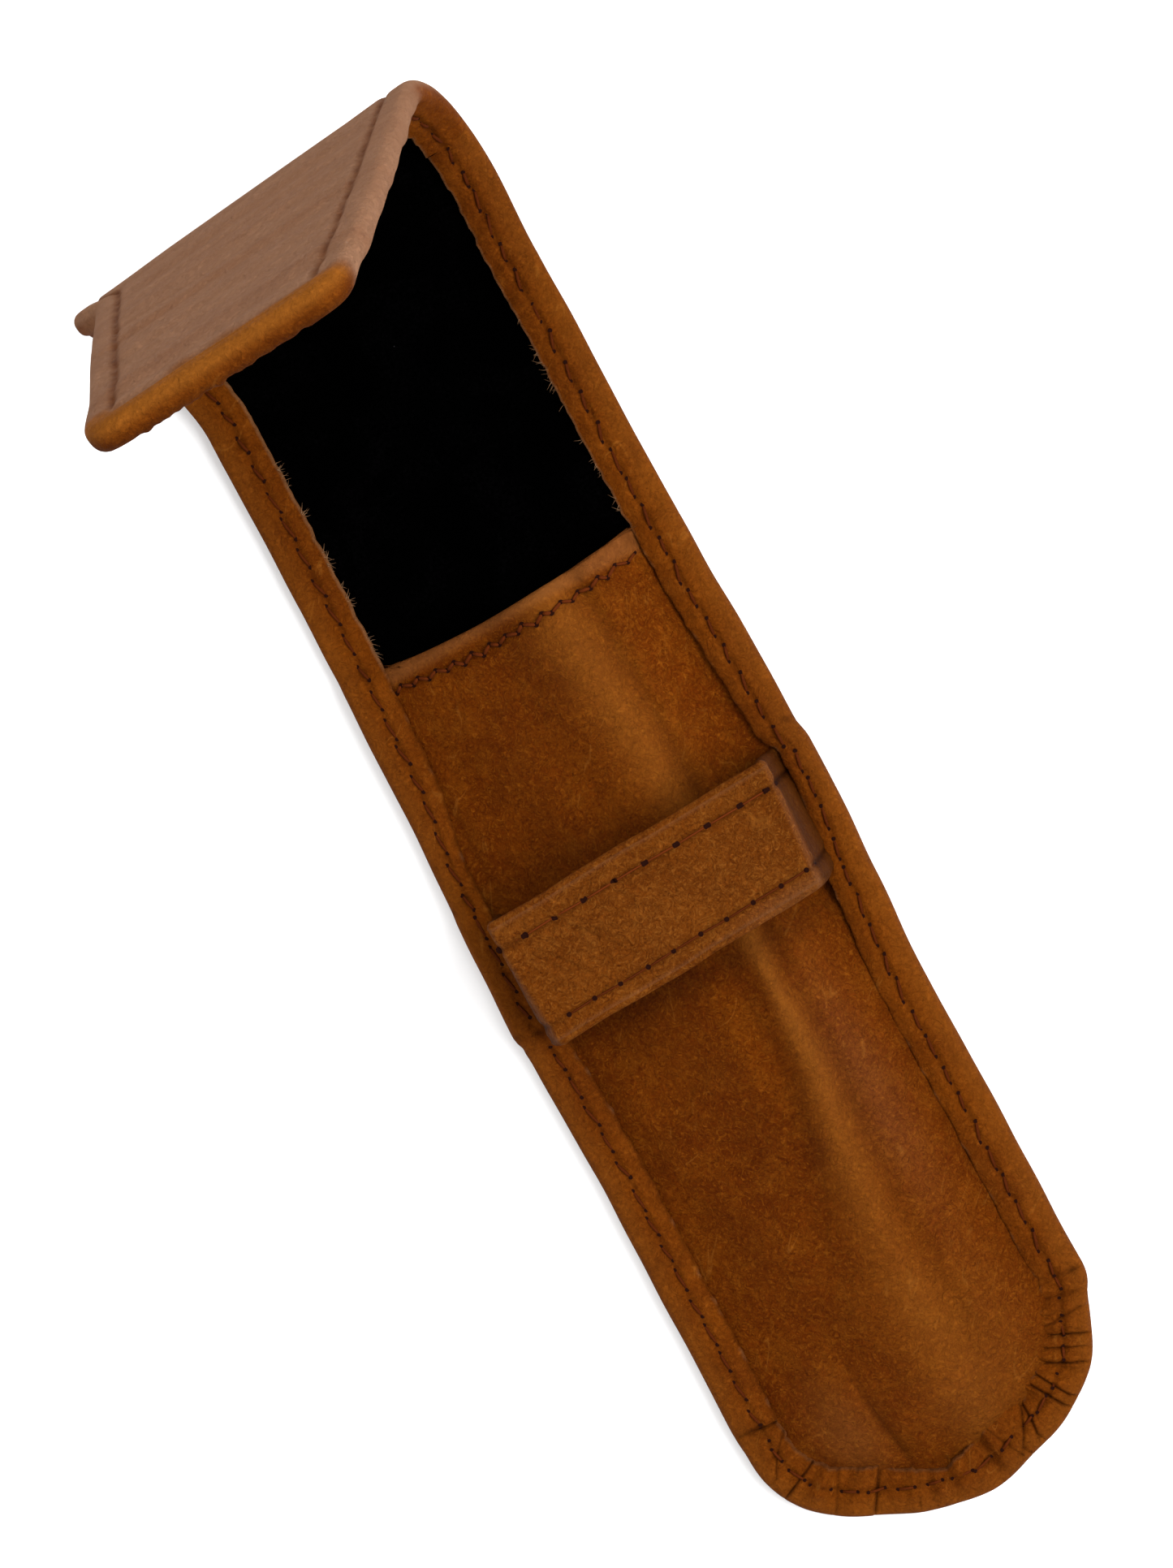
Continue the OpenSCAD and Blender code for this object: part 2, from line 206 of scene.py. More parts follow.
def soft_box(name, at, size, watts, aim=(0.0, 0.01, 0.0)):
    """A square area lamp at a place, aimed at the case."""
    lamp = bpy.data.lights.new(name, "AREA")
    lamp.size, lamp.energy = size, watts
    lamp_object = bpy.data.objects.new(name, lamp)
    lamp_object.location = at
    facing = (Vector(aim) - Vector(at)).to_track_quat("-Z", "Y")
    lamp_object.rotation_euler = facing.to_euler()
    bpy.context.collection.objects.link(lamp_object)


soft_box("key_box", (0.42, -0.10, 0.50), 0.45, 6.0)
soft_box("top_box", (0.05, 0.30, 0.75), 0.7, 4.0)
room = bpy.data.worlds.new("white_room")
room.use_nodes = True
room.node_tree.nodes["Background"].inputs[0].default_value = (1.0, 1.0, 1.0, 1.0)
room.node_tree.nodes["Background"].inputs[1].default_value = 0.75
bpy.context.scene.world = room
bpy.context.scene.view_settings.view_transform = "Standard"

# ---------------------------------------------------------------------------------------------
# The hide: one long piece of vegetable tanned leather, 1 mm thick. It lies flat as the back, is
# rolled up at the fold and stands as the flap. Its edges are pared, turned over to the inside and
# stitched down, and round the toe they are gathered into pleats.
MM = 0.001
hinge_joint = {joint["name"]: joint for joint in frame["joints"]}["flap_fold"]
hinge = np.array(hinge_joint["pos_m"]) / MM
hinge_axis = np.array(hinge_joint["axis"])
leather = 1.0
lining = 0.5
toe_tip_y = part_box("toe_hem")[0].y / MM
toe_reach = 16.7
toe_y = toe_tip_y + toe_reach
fold_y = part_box("side_hem_left")[1].y / MM
mouth_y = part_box("front_leather")[1].y / MM
band_low, band_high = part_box("keeper_band")[0].y / MM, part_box("keeper_band")[1].y / MM
roll_radius = 16.5
roll_turn = math.radians(110)
open_turn = math.pi - roll_turn
closed_top = 13.4
fold_len = roll_radius * roll_turn
tongue_len = 54.0
tip_half = 13.25
tip_corner = 4.0
hem = 5.0
roll_depth = 1.4
hem_top = 2.5
stitch_pitch = 3.2
case_len = fold_y - toe_y
hide_end = fold_len + tongue_len


def ease(t, low, high):
    """0 below low, 1 above high, and smooth in between; low may be the greater."""
    c = np.clip((t - low) / (high - low), 0, 1)
    return c * c * (3 - 2 * c)


def bump(t, at, width):
    """A bell of height 1 over at."""
    return np.exp(-(((t - at) / width) ** 2))


def wander(t, shortest, longest, seed):
    """A smooth irregular line: sines of t, their lengths spread from shortest to longest and
    their phases drawn from seed, which add up to a spread of about one."""
    draw = np.random.default_rng(seed)
    lengths = np.geomspace(shortest, longest, 7) * draw.uniform(0.9, 1.1, 7)
    phases = draw.uniform(0, 2 * np.pi, 7)
    weights = lengths**0.4
    weights = weights / np.sqrt((weights**2).sum() / 2)
    t = np.asarray(t, float)
    return (np.sin(2 * np.pi * t[..., None] / lengths + phases) * weights).sum(-1)


def turned_about(points, axis, angle):
    """Points turned about an axis through the hinge, by Rodrigues' formula."""
    p = points - hinge
    c, s = math.cos(angle), math.sin(angle)
    return hinge + p * c + np.cross(axis, p) * s + (p @ axis)[..., None] * axis * (1 - c)


def lay(l, x, n):
    """Where a point of the flat hide lies: l along it from the start of the fold, x across it
    and n in from its outer face. Before the fold that is on the table. In the fold it is rolled
    round the radius while the line of the fold swings round to the hinge's axis. Beyond the fold
    it is on the straight tongue, which is laid out closed and turned open about the hinge. The
    hide is slack, so the fold stands out a little further and the tip leans back."""
    l, x, n = np.broadcast_arrays(l, x, n)
    flat = np.stack([x, fold_y + l, n], -1)
    s = np.clip(l / fold_len, 0, 1)
    r, a = roll_radius - n, roll_turn * s
    rolled = np.stack([x, fold_y + r * np.sin(a), roll_radius - r * np.cos(a)], -1)
    level = turned_about(rolled, np.array([1.0, 0, 0]), open_turn)
    swung = turned_about(level, hinge_axis, -open_turn)
    fold = rolled + (swung - rolled) * ease(s, 0, 1)[..., None]
    closed = np.stack([x, fold_y - (l - fold_len), closed_top - n], -1)
    tongue = turned_about(closed, hinge_axis, -open_turn)
    past = (l - fold_len)[..., None]
    placed = np.where(l[..., None] <= 0, flat, np.where(past <= 0, fold, tongue))
    slack = 1.35 + 0.034 * x * ease(l, fold_len + 30, fold_len)
    slack = (slack - 0.45 * ease(l, fold_len + 30, fold_len + 60)) * ease(l, -26, 8)
    lean = 0.5 * ease(l, fold_len, hide_end)
    return placed + np.stack([lean, slack, 0 * slack], -1)


def straight_side(y):
    """Half the width of the back without its bulges: straight sides, a little tapered."""
    return 20.2 - 0.5 * (y - toe_y) / case_len


def half_width(l, side):
    """Half the width of the hide at l: straight sides, a bulge beside the keeper band, a flare
    in the fold and a taper along the tongue."""
    y = fold_y + l
    back = straight_side(y)
    right = 0.85 * ease(y, -14, 9) * ease(y, 13.2, 11.0) + 0.45 * ease(y, 44, 13) * ease(y, 11, 13)
    left = 0.62 * ease(y, 24, 0) * ease(y, -3.6, -2.2) + 0.22 * ease(y, -22, -3) * ease(y, -2, -4)
    right = right - 0.28 * ease(y, -4, -16)
    left = left - 0.62 * ease(y, 2, 52)
    back = back + np.where(side > 0, right, left) + 0.045 * wander(y + 90 * side, 9, 40, 3)
    s = np.clip(l / fold_len, 0, 1)
    nub = np.where(side > 0, -0.5 * np.sin(np.pi * s) ** 4, 2.4 * ease(l, 9, 24) * ease(l, 33.5, 28.5))
    rolled = 19.7 - 0.45 * s + 1.0 * np.sin(np.pi * s) ** 2 + nub
    rolled = rolled - np.where(side < 0, 0.62 * ease(l, 8, 0), 0)
    tongue = 19.25 - (19.25 - tip_half) * (l - fold_len) / tongue_len
    tongue = tongue + np.where(side < 0, 2.4 * ease(l, 33.5, 28.5) - 0.9 * ease(l, 29, 35), 0)
    return np.where(l < 0, back, np.where(l < fold_len, rolled, tongue))


def toe_end(rows_side, rows_toe):
    """The outline of the back from the left of the fold's middle, round the toe, to the right of
    it. Returns, for each row, its side, how far it is along, and its direction (c, s) from the
    toe's centre, which along the sides is straight outwards."""
    down = np.linspace(fold_len / 2, -case_len, rows_side, endpoint=False)
    round_toe = np.radians(np.linspace(180, 360, rows_toe))
    l = np.concatenate([down, np.full(rows_toe, -case_len), down[::-1]])
    c = np.concatenate([-np.ones(rows_side), np.cos(round_toe), np.ones(rows_side)])
    s = np.concatenate([np.zeros(rows_side), np.sin(round_toe), np.zeros(rows_side)])
    return l, c, s


def toe_point(l, c, s, d, g):
    """A point of the back at a distance d in from its outline, and a share g of the way on from
    there to the spine; the toe is half an ellipse about its centre, a little angular."""
    w = half_width(l, np.sign(c + 1e-9))
    angle = np.arctan2(s, c)
    degrees = np.degrees(angle) % 360
    facets = 0.12 * np.cos(9 * angle + 0.6) + 0.10 * np.cos(14 * angle + 2.0)
    facets = facets + 0.85 * bump(degrees, 211, 12) - 0.45 * bump(degrees, 243, 11)
    facets = facets - 0.48 * ease(degrees, 258, 292) * ease(degrees, 362, 346)
    facets = facets - 0.35 * bump(degrees, 350, 9)
    facets = np.where(s < 0, facets * np.minimum(1, 6 * np.abs(s)), 0)
    across = (w + facets - d) * (1 - g)
    down = (toe_reach + facets - d) * (1 - g)
    return across * c, l + down * s


def hem_section(columns_top, columns_back=8):
    """The section of a turned edge as a closed strip, from the spine along the outer face, round
    the rolled edge, over the hem to its cut edge and back inside to the spine. Each column has d,
    the distance in from the outline where it's fixed, g, the share of the way to the spine, and
    the part of the section that it belongs to."""
    parts, d, g = [], [], []
    for part, ds, gs in (
        ("back", np.full(9, 6.0), np.linspace(1, 0.03, 9)),
        ("back", np.linspace(6.0, roll_depth + 0.1, columns_back), np.zeros(columns_back)),
        ("roll", np.linspace(0, 1, 15), np.zeros(15)),
        ("top", np.linspace(0, 1, columns_top)[1:], np.zeros(columns_top - 1)),
        ("cut", np.array([0.15, 0.5, 0.9]), np.zeros(3)),
        ("under", np.linspace(0, 1, 6), np.zeros(6)),
        ("inside", np.array([roll_depth, 3.0, 6.0]), np.zeros(3)),
        ("inside", np.full(4, 6.0), np.linspace(0.2, 1, 4)),
    ):
        parts += [part] * len(ds)
        d.append(ds)
        g.append(gs)
    return np.array(parts), np.concatenate(d), np.concatenate(g)


def hem_surface(parts, d, g, height, cut, relief):
    """Distances d, depths n and shares g of a hem's section for every row: height is the hem's
    top, cut its width and relief(d) what its surface stands above that. The roll is a half
    superellipse from the outer face to the top."""
    rows = len(height)
    height, cut = height[:, None], cut[:, None]
    t = np.broadcast_to(d, (rows, len(d)))
    phi = t * np.pi
    power = 0.8
    roll_d = roll_depth * (1 - np.abs(np.sin(phi)) ** power)
    roll_n = height / 2 * (1 - np.sign(np.cos(phi)) * np.abs(np.cos(phi)) ** power)
    roll_n = roll_n + relief(roll_depth + 0 * t) * ease(phi, 1.2, np.pi)
    top_d = roll_depth + (cut - roll_depth) * t
    on_top = relief(np.where(parts == "top", top_d, roll_depth))
    at_cut = relief(cut + 0 * t)
    choose = [parts == name for name in ("back", "roll", "top", "cut", "under", "inside")]
    cut_d, under_d = cut + 0.04 * np.sin(np.pi * t), cut - (cut - 1.1) * t
    cut_n, under_n = height + at_cut - leather * t, height + at_cut * (1 - t) - leather
    dd = np.select(choose, [t, roll_d, top_d, cut_d, under_d, t])
    nn = np.select(choose, [0 * t, roll_n, height + on_top, cut_n, under_n, leather + 0 * t])
    raw = np.select([parts == "cut", parts == "top"], [1.0, ease(cut - top_d, 0.28, 0.0)], 0.0)
    return dd, nn, np.broadcast_to(g, t.shape), raw


def strip_mesh(name, points, finish, values=(), closed=False):
    """A mesh over a grid of points, its faces outwards when the grid's first axis crossed with
    its second points out, its last column joined to its first if it's closed, with values for
    its vertices."""
    rows, columns = points.shape[:2]
    index = np.arange(rows * columns).reshape(rows, columns)
    if closed:
        index = np.concatenate([index, index[:, :1]], 1)
    quads = np.stack([index[:-1, :-1], index[1:, :-1], index[1:, 1:], index[:-1, 1:]], -1)
    return sewn_mesh(name, points.reshape(-1, 3), quads.reshape(-1, 4), finish, values)


def sewn_mesh(name, points, quads, finish, values=()):
    """A smooth mesh in metres from points in millimetres, with values for its vertices."""
    mesh = bpy.data.meshes.new(name)
    mesh.vertices.add(len(points))
    mesh.vertices.foreach_set("co", (points * MM).astype(np.float32).ravel())
    mesh.loops.add(quads.size)
    mesh.loops.foreach_set("vertex_index", quads.astype(np.int32).ravel())
    mesh.polygons.add(len(quads))
    mesh.polygons.foreach_set("loop_start", np.arange(0, quads.size, 4, dtype=np.int32))
    mesh.polygons.foreach_set("use_smooth", np.ones(len(quads), bool))
    mesh.update()
    mesh.validate()
    for key, numbers in dict(values).items():
        layer = mesh.attributes.new(key, "FLOAT", "POINT")
        layer.data.foreach_set("value", np.asarray(numbers, np.float32).ravel())
    mesh.materials.append(finish)
    piece = bpy.data.objects.new(name, mesh)
    bpy.context.collection.objects.link(piece)
    return piece


def weld(piece):
    """Joins vertices that lie on each other, such as the two halves along the spine."""
    merge = piece.modifiers.new("weld", "WELD")
    merge.merge_threshold = 2e-6
    evaluated = piece.evaluated_get(bpy.context.evaluated_depsgraph_get())
    welded = bpy.data.meshes.new_from_object(evaluated)
    piece.modifiers.clear()
    piece.data = welded


def bend_into_fold(piece):
    """Bakes the piece's placement into its mesh, where it lies."""
    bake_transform(piece)


def bend_into_flap(piece):
    """Works out two places along the hide's middle, on the fold and on the flap, and bakes the piece's
    placement into its mesh.
    """
    start, stop = lay(np.array([fold_len * 0.6, fold_len + 20.0]), 0, 0) * MM
    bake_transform(piece)


# Colours painted over the hide: a yellower tan for painted highlights, a lighter tone and scratches, the pale
# fibres of cut edges, and a near black for painted shade.
highlight_and_scratch_colour = (0.222, 0.071, 0.0085, 1)
fibre_colour = (0.24, 0.11, 0.045, 1)
painted_shade_colour = (0.014, 0.003, 0.0006, 1)


def tan_leather(name, base, grain=1.0, contrast=1.0, sheen_colour=(0.240, 0.122, 0.068, 1)):
    """Oiled tan hide: mottled tan over a darker one, a short nap of paler fibres, pores and fine
    crossed wrinkles. It is darker where the value 'dark' paints shade into it, in grooves,
    creases, along cut edges and on faces turned from the light; yellower where 'light' paints
    highlights and a lighter tone; pale and greyer where the value for sheen paints a sheen of
    reflected light; and pale and fibrous where 'raw' says that it is cut."""
    f = Finish(name)
    deep, tan, light = base
    pit = (deep[0] * 0.62, deep[1] * 0.52, deep[2] * 0.5, 1)
    dark, sheen, raw, lighter_mask = (f.value(key) for key in ("dark", "sheen", "raw", "light"))
    cloud = f.noise(85.0, 4.0, 0.6, 0.6)
    patch = f.noise(330.0, 4.0, 0.65, 0.4)
    speck = f.noise(1900.0, 3.0, 0.7)
    nap = f.noise(1150.0, 5.0, 0.75, 2.8)
    fibre = f.noise(900.0, 3.0, 0.6, 1.5, f.turned(28, (2.6, 0.7, 1.0)))
    scuffs = f.noise(240.0, 6.0, 0.75, 2.2)
    colour = f.blended(cloud.between(0.3, 0.72), deep, tan)
    colour = f.blended((patch * 0.6 + fibre * 0.4).between(0.42, 0.72) * 0.5, colour, light)
    scratch = f.noise(75.0, 2.0, 0.45, 1.0, f.turned(-38, (1.6, 0.5, 1.0)))
    colour = f.blended(nap.between(0.50, 0.66) * 0.75 * contrast, colour, light)
    colour = f.blended(nap.between(0.49, 0.33) * 0.7 * contrast, colour, pit)
    colour = f.blended(speck.between(0.55, 0.70) * 0.5 * contrast, colour, pit)
    colour = f.blended(scuffs.between(0.56, 0.70) * 0.4 * contrast, colour, light)
    lines = (scratch - 0.5).size().between(0.007, 0.001)
    colour = f.blended(lines * patch.between(0.48, 0.60) * 0.42, colour, highlight_and_scratch_colour)
    # painted highlight and lighter tone, where the value 'light' says
    colour = f.blended(lighter_mask * (0.6 + 0.6 * nap), colour, highlight_and_scratch_colour)
    # painted sheen of reflected light, pale and greyer
    colour = f.blended(sheen * (0.70 + 0.42 * patch), colour, sheen_colour)
    colour = f.blended(raw * (0.35 + 0.5 * speck), colour, fibre_colour)
    # painted shade: near black where the value 'dark' says
    colour = f.blended(dark, colour, painted_shade_colour)
    pores = f.cells(1500.0, "SMOOTH_F1")
    creases = f.noise(700.0, 4.0, 0.6, 0.9, f.turned(-35, (1.9, 0.8, 1.0)))
    normal = f.bumps(
        (cloud * 0.6 + patch * 0.4, 0.00026),
        (creases, 0.00030 * grain),
        (pores, 0.00022 * grain),
        (nap, 0.00030 * grain),
        (speck, 0.00008 * grain),
    )
    rough = 0.60 + 0.16 * patch + 0.1 * sheen - 0.06 * dark
    return f.surface(
        Base_Color=colour, Roughness=rough, Normal=normal, Specular_IOR_Level=0.015, IOR=1.45
    )


hide_finish = tan_leather(
    "tan_hide",
    ((0.088, 0.0185, 0.0012, 1), (0.120, 0.0268, 0.0012, 1), (0.176, 0.0465, 0.0036, 1)),
    contrast=0.7,
)

# creases of the gathered edge: the direction from the toe's centre, in degrees, of the crease's
# inner and outer end, its depth, and how far the leather behind it stands over the leather before it
pleats = (
    (181, 179.5, 0.45, -0.35), (186, 203, 0.28, 0.0), (207, 206.7, 0.5, 0.25),
    (219, 224, 0.22, 0.0), (235.3, 235.7, 0.45, -0.45), (252, 250, 0.15, 0.1),
    (284, 287, 0.2, 0.0), (301.5, 285.6, 0.4, -0.35), (302, 293.7, 0.45, 0.2),
    (310.5, 308, 0.55, -0.2), (316, 312, 0.5, 0.15), (321.4, 325.5, 0.5, -0.25),
    (329, 331, 0.32, 0.1), (335.2, 335.8, 0.55, 0.25), (340, 347, 0.3, 0.0),
    (353, 352, 0.2, 0.0), (361.5, 359.8, 0.5, -0.35),
)
# creases across the side hems: side, place along the case at the inner and outer end, depth
side_creases = (
    (1, 12.9, 13.6, 0.32), (-1, 14.0, 12.6, 0.3), (-1, -3.3, -2.2, 0.3), (1, -4.2, -3.0, 0.15),
    (1, 27.6, 27.0, 0.16), (-1, -30.0, -29.4, 0.12), (1, -21.0, -20.2, 0.1),
)
crease_radius = 18.4


def round_the_toe(l, c, s):
    """Direction from the toe's centre in degrees, carried on along the straight sides."""
    angle = np.degrees(np.arctan2(s, c)) % 360
    angle = np.where(s > -1e-6, np.where(c > 0, 360.0, 180.0), angle)
    return angle + np.sign(c + 1e-9) * np.degrees((l + case_len) / crease_radius)


def case_hem_height(y):
    """Height of the hem's top over the table: over the lining only, over the rim of the front
    below the mouth, and lifted over the foot of the keeper band."""
    over_front = ease(y, mouth_y + 0.8, mouth_y - 1.2)
    over_foot = ease(y, band_high + 2.2, band_high + 0.2) * ease(y, band_low - 1.6, band_low - 0.2)
    return hem_top + 0.8 * over_front + 0.75 * over_foot


def band_side(y):
    """1 beside the keeper band, fading away from it."""
    return ease(y, band_high + 7, band_high) * ease(y, band_low - 7, band_low)


def narrowing(y, side):
    """How much narrower the hem is where the keeper band's foot pushes it outwards."""
    right = 0.9 * bump(y, 8.5, 12) + 0.7 * ease(y, 12.9, 11.7) * ease(y, -4, 9)
    left = 1.4 * bump(y, 15.5, 8) + 0.75 * bump(y, 1, 8)
    return np.where(side > 0, right, left)


def seam_line(y, side):
    """Distance of a side hem's seam from the outline, less beside the band."""
    return 3.0 - 0.6 * narrowing(y, side)


# width of the tabs round the toe: direction from the toe's centre in degrees, width there
tab_widths = (
    (180, 5.1), (181, 4.8), (198, 4.9), (207, 5.2), (235, 5.6), (236, 5.2), (250, 4.7), (262, 3.9),
    (265, 4.6), (271, 5.2), (285, 5.8), (294, 6.2), (301, 5.2), (303, 4.7), (310, 5.8), (316, 5.1),
    (322, 5.8), (329, 6.0), (335, 5.5), (341, 5.1), (354, 5.4), (361, 4.9),
)


def case_cut(l, c, s):
    """Width of the hem: ragged, narrower beside the band, and cut into straight-edged tabs of
    uneven width round the toe."""
    y = fold_y + l
    side = np.sign(c + 1e-9)
    width = hem + 0.055 * wander(y + 60 * side, 1.1, 5, 11) - narrowing(y, side)
    angle = round_the_toe(l, c, s)
    tabs = np.interp(angle, *zip(*tab_widths))
    at_toe = (angle > 180) & (angle < 361)
    return np.where(at_toe, tabs + 0.05 * wander(angle * 0.32, 0.6, 4, 5), width)


def case_creases(l, c, s, d):
    """Depth of the creases at d, and height of the overlaps beside them: each crease is a sharp
    groove along its line, each overlap a step that sinks away from it."""
    angle, y = round_the_toe(l, c, s)[:, None], (fold_y + l)[:, None]
    creases, steps = 0 * d + 0 * y, 0 * d + 0 * y
    for inner, outer, depth, step in pleats:
        line = inner + (outer - inner) * (hem - d) / 4.4
        arc = np.radians(angle - line) * (crease_radius - d)
        reach = ease(d, 0.2, 1.2)
        creases = creases + depth * np.exp(-np.abs(arc) / 0.13) * reach
        steps = steps + step * ease(arc, -0.06, 0.06) * np.exp(-np.clip(arc, 0, None) / 2.2) * reach
    for side, inner, outer, depth in side_creases:
        line = inner + (outer - inner) * (hem - d) / 4.0
        on_side = (np.sign(c + 1e-9) == side)[:, None]
        creases = creases + depth * np.exp(-np.abs(y - line) / 0.14) * on_side
    return creases, steps


def case_relief(l, c, s):
    """What the hem's surface stands above its height: crowned, drawn down along the seam and
    more at each stitch, wrinkled across near the fold, and creased and overlapping at the toe."""
    y = (fold_y + l)[:, None]
    side = np.sign(c + 1e-9)[:, None]
    angle = round_the_toe(l, c, s)[:, None]
    run = y + 30 * side
    cut = case_cut(l, c, s)[:, None]

    def relief(d):
        u = np.clip((d - roll_depth) / (cut - roll_depth), 0, 1)
        crown = 0.20 * np.sin(np.pi * u) - 0.30 * u**3 + 0.45 * u**3 * ease(cut, 5.3, 6.2)
        stitch = 0.75 + 0.25 * np.cos(2 * np.pi * run / stitch_pitch)
        seam = -0.34 * bump(d, seam_line(y, side), 0.42) * stitch
        near_fold = ease(y, 40, 66)
        across = wander(run + 0.35 * d, 1.6, 5.0, 21)
        wrinkle = 0.20 * near_fold * across * (0.3 + 0.7 * u)
        wrinkle = wrinkle + 0.05 * wander(run + 0.8 * d, 2.5, 14, 8) * u
        creases, steps = case_creases(l, c, s, d)
        at_toe = ease(angle, 176, 186) * ease(angle, 364, 354)
        swell = 0.24 * wander(angle, 7, 24, 14) * ease(d, 0.8, 2.2) * at_toe
        return crown + seam + wrinkle + steps - creases + swell

    return relief


def case_hide():
    """The back and its hems up to the middle of the fold: the hem's section carried along the
    outline, joined along the spine."""
    l, c, s = toe_end(200, 560)
    parts, d, g = hem_section(26)
    y = fold_y + l
    height, cut = case_hem_height(y), case_cut(l, c, s)
    relief = case_relief(l, c, s)
    dd, nn, gg, raw = hem_surface(parts, d, g, height, cut, relief)
    x, along = toe_point(l[:, None], c[:, None], s[:, None], dd, gg)
    points = lay(along, x, nn)
    on_top, on_roll = parts == "top", parts == "roll"
    seam_at = seam_line(y, np.sign(c + 1e-9))[:, None]
    # Painted shade: in the seam's groove, in the creases and pleats, and as a thin shadow along the hem's cut
    # edge, darker below the mouth.
    dark = np.where(on_top, 0.22 * bump(dd, seam_at, 0.30), 0)
    creases, _ = case_creases(l, c, s, dd)
    dark = dark + np.where(on_top | on_roll, np.clip(1.6 * creases, 0, 0.8), 0)
    below = ease(y, mouth_y + 0.5, mouth_y - 1.5)[:, None]
    dark = dark + np.where(on_top, (0.2 + 0.08 * below) * ease(cut[:, None] - dd, 0.35, 0.05), 0)
    # Painted sheen of reflected light on the outer face where it turns into the fold.
    past = ease(along, 11.0, 15.6)
    sheen = np.select([parts == "back", on_roll], [past, past * ease(nn, 1.3, 0.3)], 0)
    toe_tabs = (s < -1e-6)[:, None]
    flecks = ease(wander(y + 40 * np.sign(c), 1.2, 6, 44), 0.9, 1.5)[:, None]
    raw = raw * np.maximum(1 - below, np.where(toe_tabs, 0.35, 0.5 * flecks))
    # Lighter, yellower tone along the rolled edge and the outer part of the hem's top.
    lighter_mask = np.where(on_top | on_roll, 0.22 * ease(dd, 2.8, 0.8), 0)
    dark, raw = np.clip(dark, 0, 0.85), np.clip(raw, 0, 1)
    values = {"dark": dark, "sheen": 0.95 * sheen, "raw": raw, "light": lighter_mask}
    piece = strip_mesh("case_hide", points, hide_finish, values)
    weld(piece)
    bend_into_fold(piece)
    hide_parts("back_leather", "side_hem_left", "side_hem_right", "toe_hem")


case_hide()


def tip_end(rows_side, rows_corner, rows_tip):
    """The outline of the flap from the left of the fold's middle, round the tip, to the right of
    it: for each row its kind (0 side, 1 corner, 2 tip), its sign across, and a share or angle."""
    v = np.linspace(0, 1, rows_side, endpoint=False)
    turn = np.linspace(0, np.pi / 2, rows_corner, endpoint=False)
    across = np.linspace(-1, 1, rows_tip)
    kind = np.concatenate([0 * v, 0 * turn + 1, 0 * across + 2, 0 * turn + 1, 0 * v])
    sign = np.concatenate([-1 + 0 * v, -1 + 0 * turn, across, 1 + 0 * turn, 1 + 0 * v])
    share = np.concatenate([v, turn, 0 * across, np.pi / 2 - turn, v[::-1]])
    return kind, sign, share


def tip_point(kind, sign, share, d, g):
    """A point of the flap at a distance d in from its outline, and a share g of the way from
    there to the spine: straight sides, corners round a radius that shrinks with d, and a
    straight tip with a slight wave."""
    r = np.maximum(tip_corner - d, 0.4)
    corner_l = hide_end - d - r
    corner_x = tip_half - d - r
    side_l = fold_len / 2 + share * (corner_l - fold_len / 2)
    side_x = half_width(side_l, sign) - d
    blend_in = ease(side_l, corner_l - 8, corner_l)
    side_x = side_x * (1 - blend_in) + (tip_half - d + (corner_l - side_l) * 0.111) * blend_in
    on_side, on_corner = kind == 0, kind == 1
    x = sign * np.select([on_side, on_corner], [side_x, corner_x + r * np.cos(share)], corner_x)
    l = np.select([on_side, on_corner], [side_l, corner_l + r * np.sin(share)], hide_end - d + 0 * x)
    spine_l = np.minimum(l, hide_end - 12)
    return x * (1 - g), l + (spine_l - l) * g


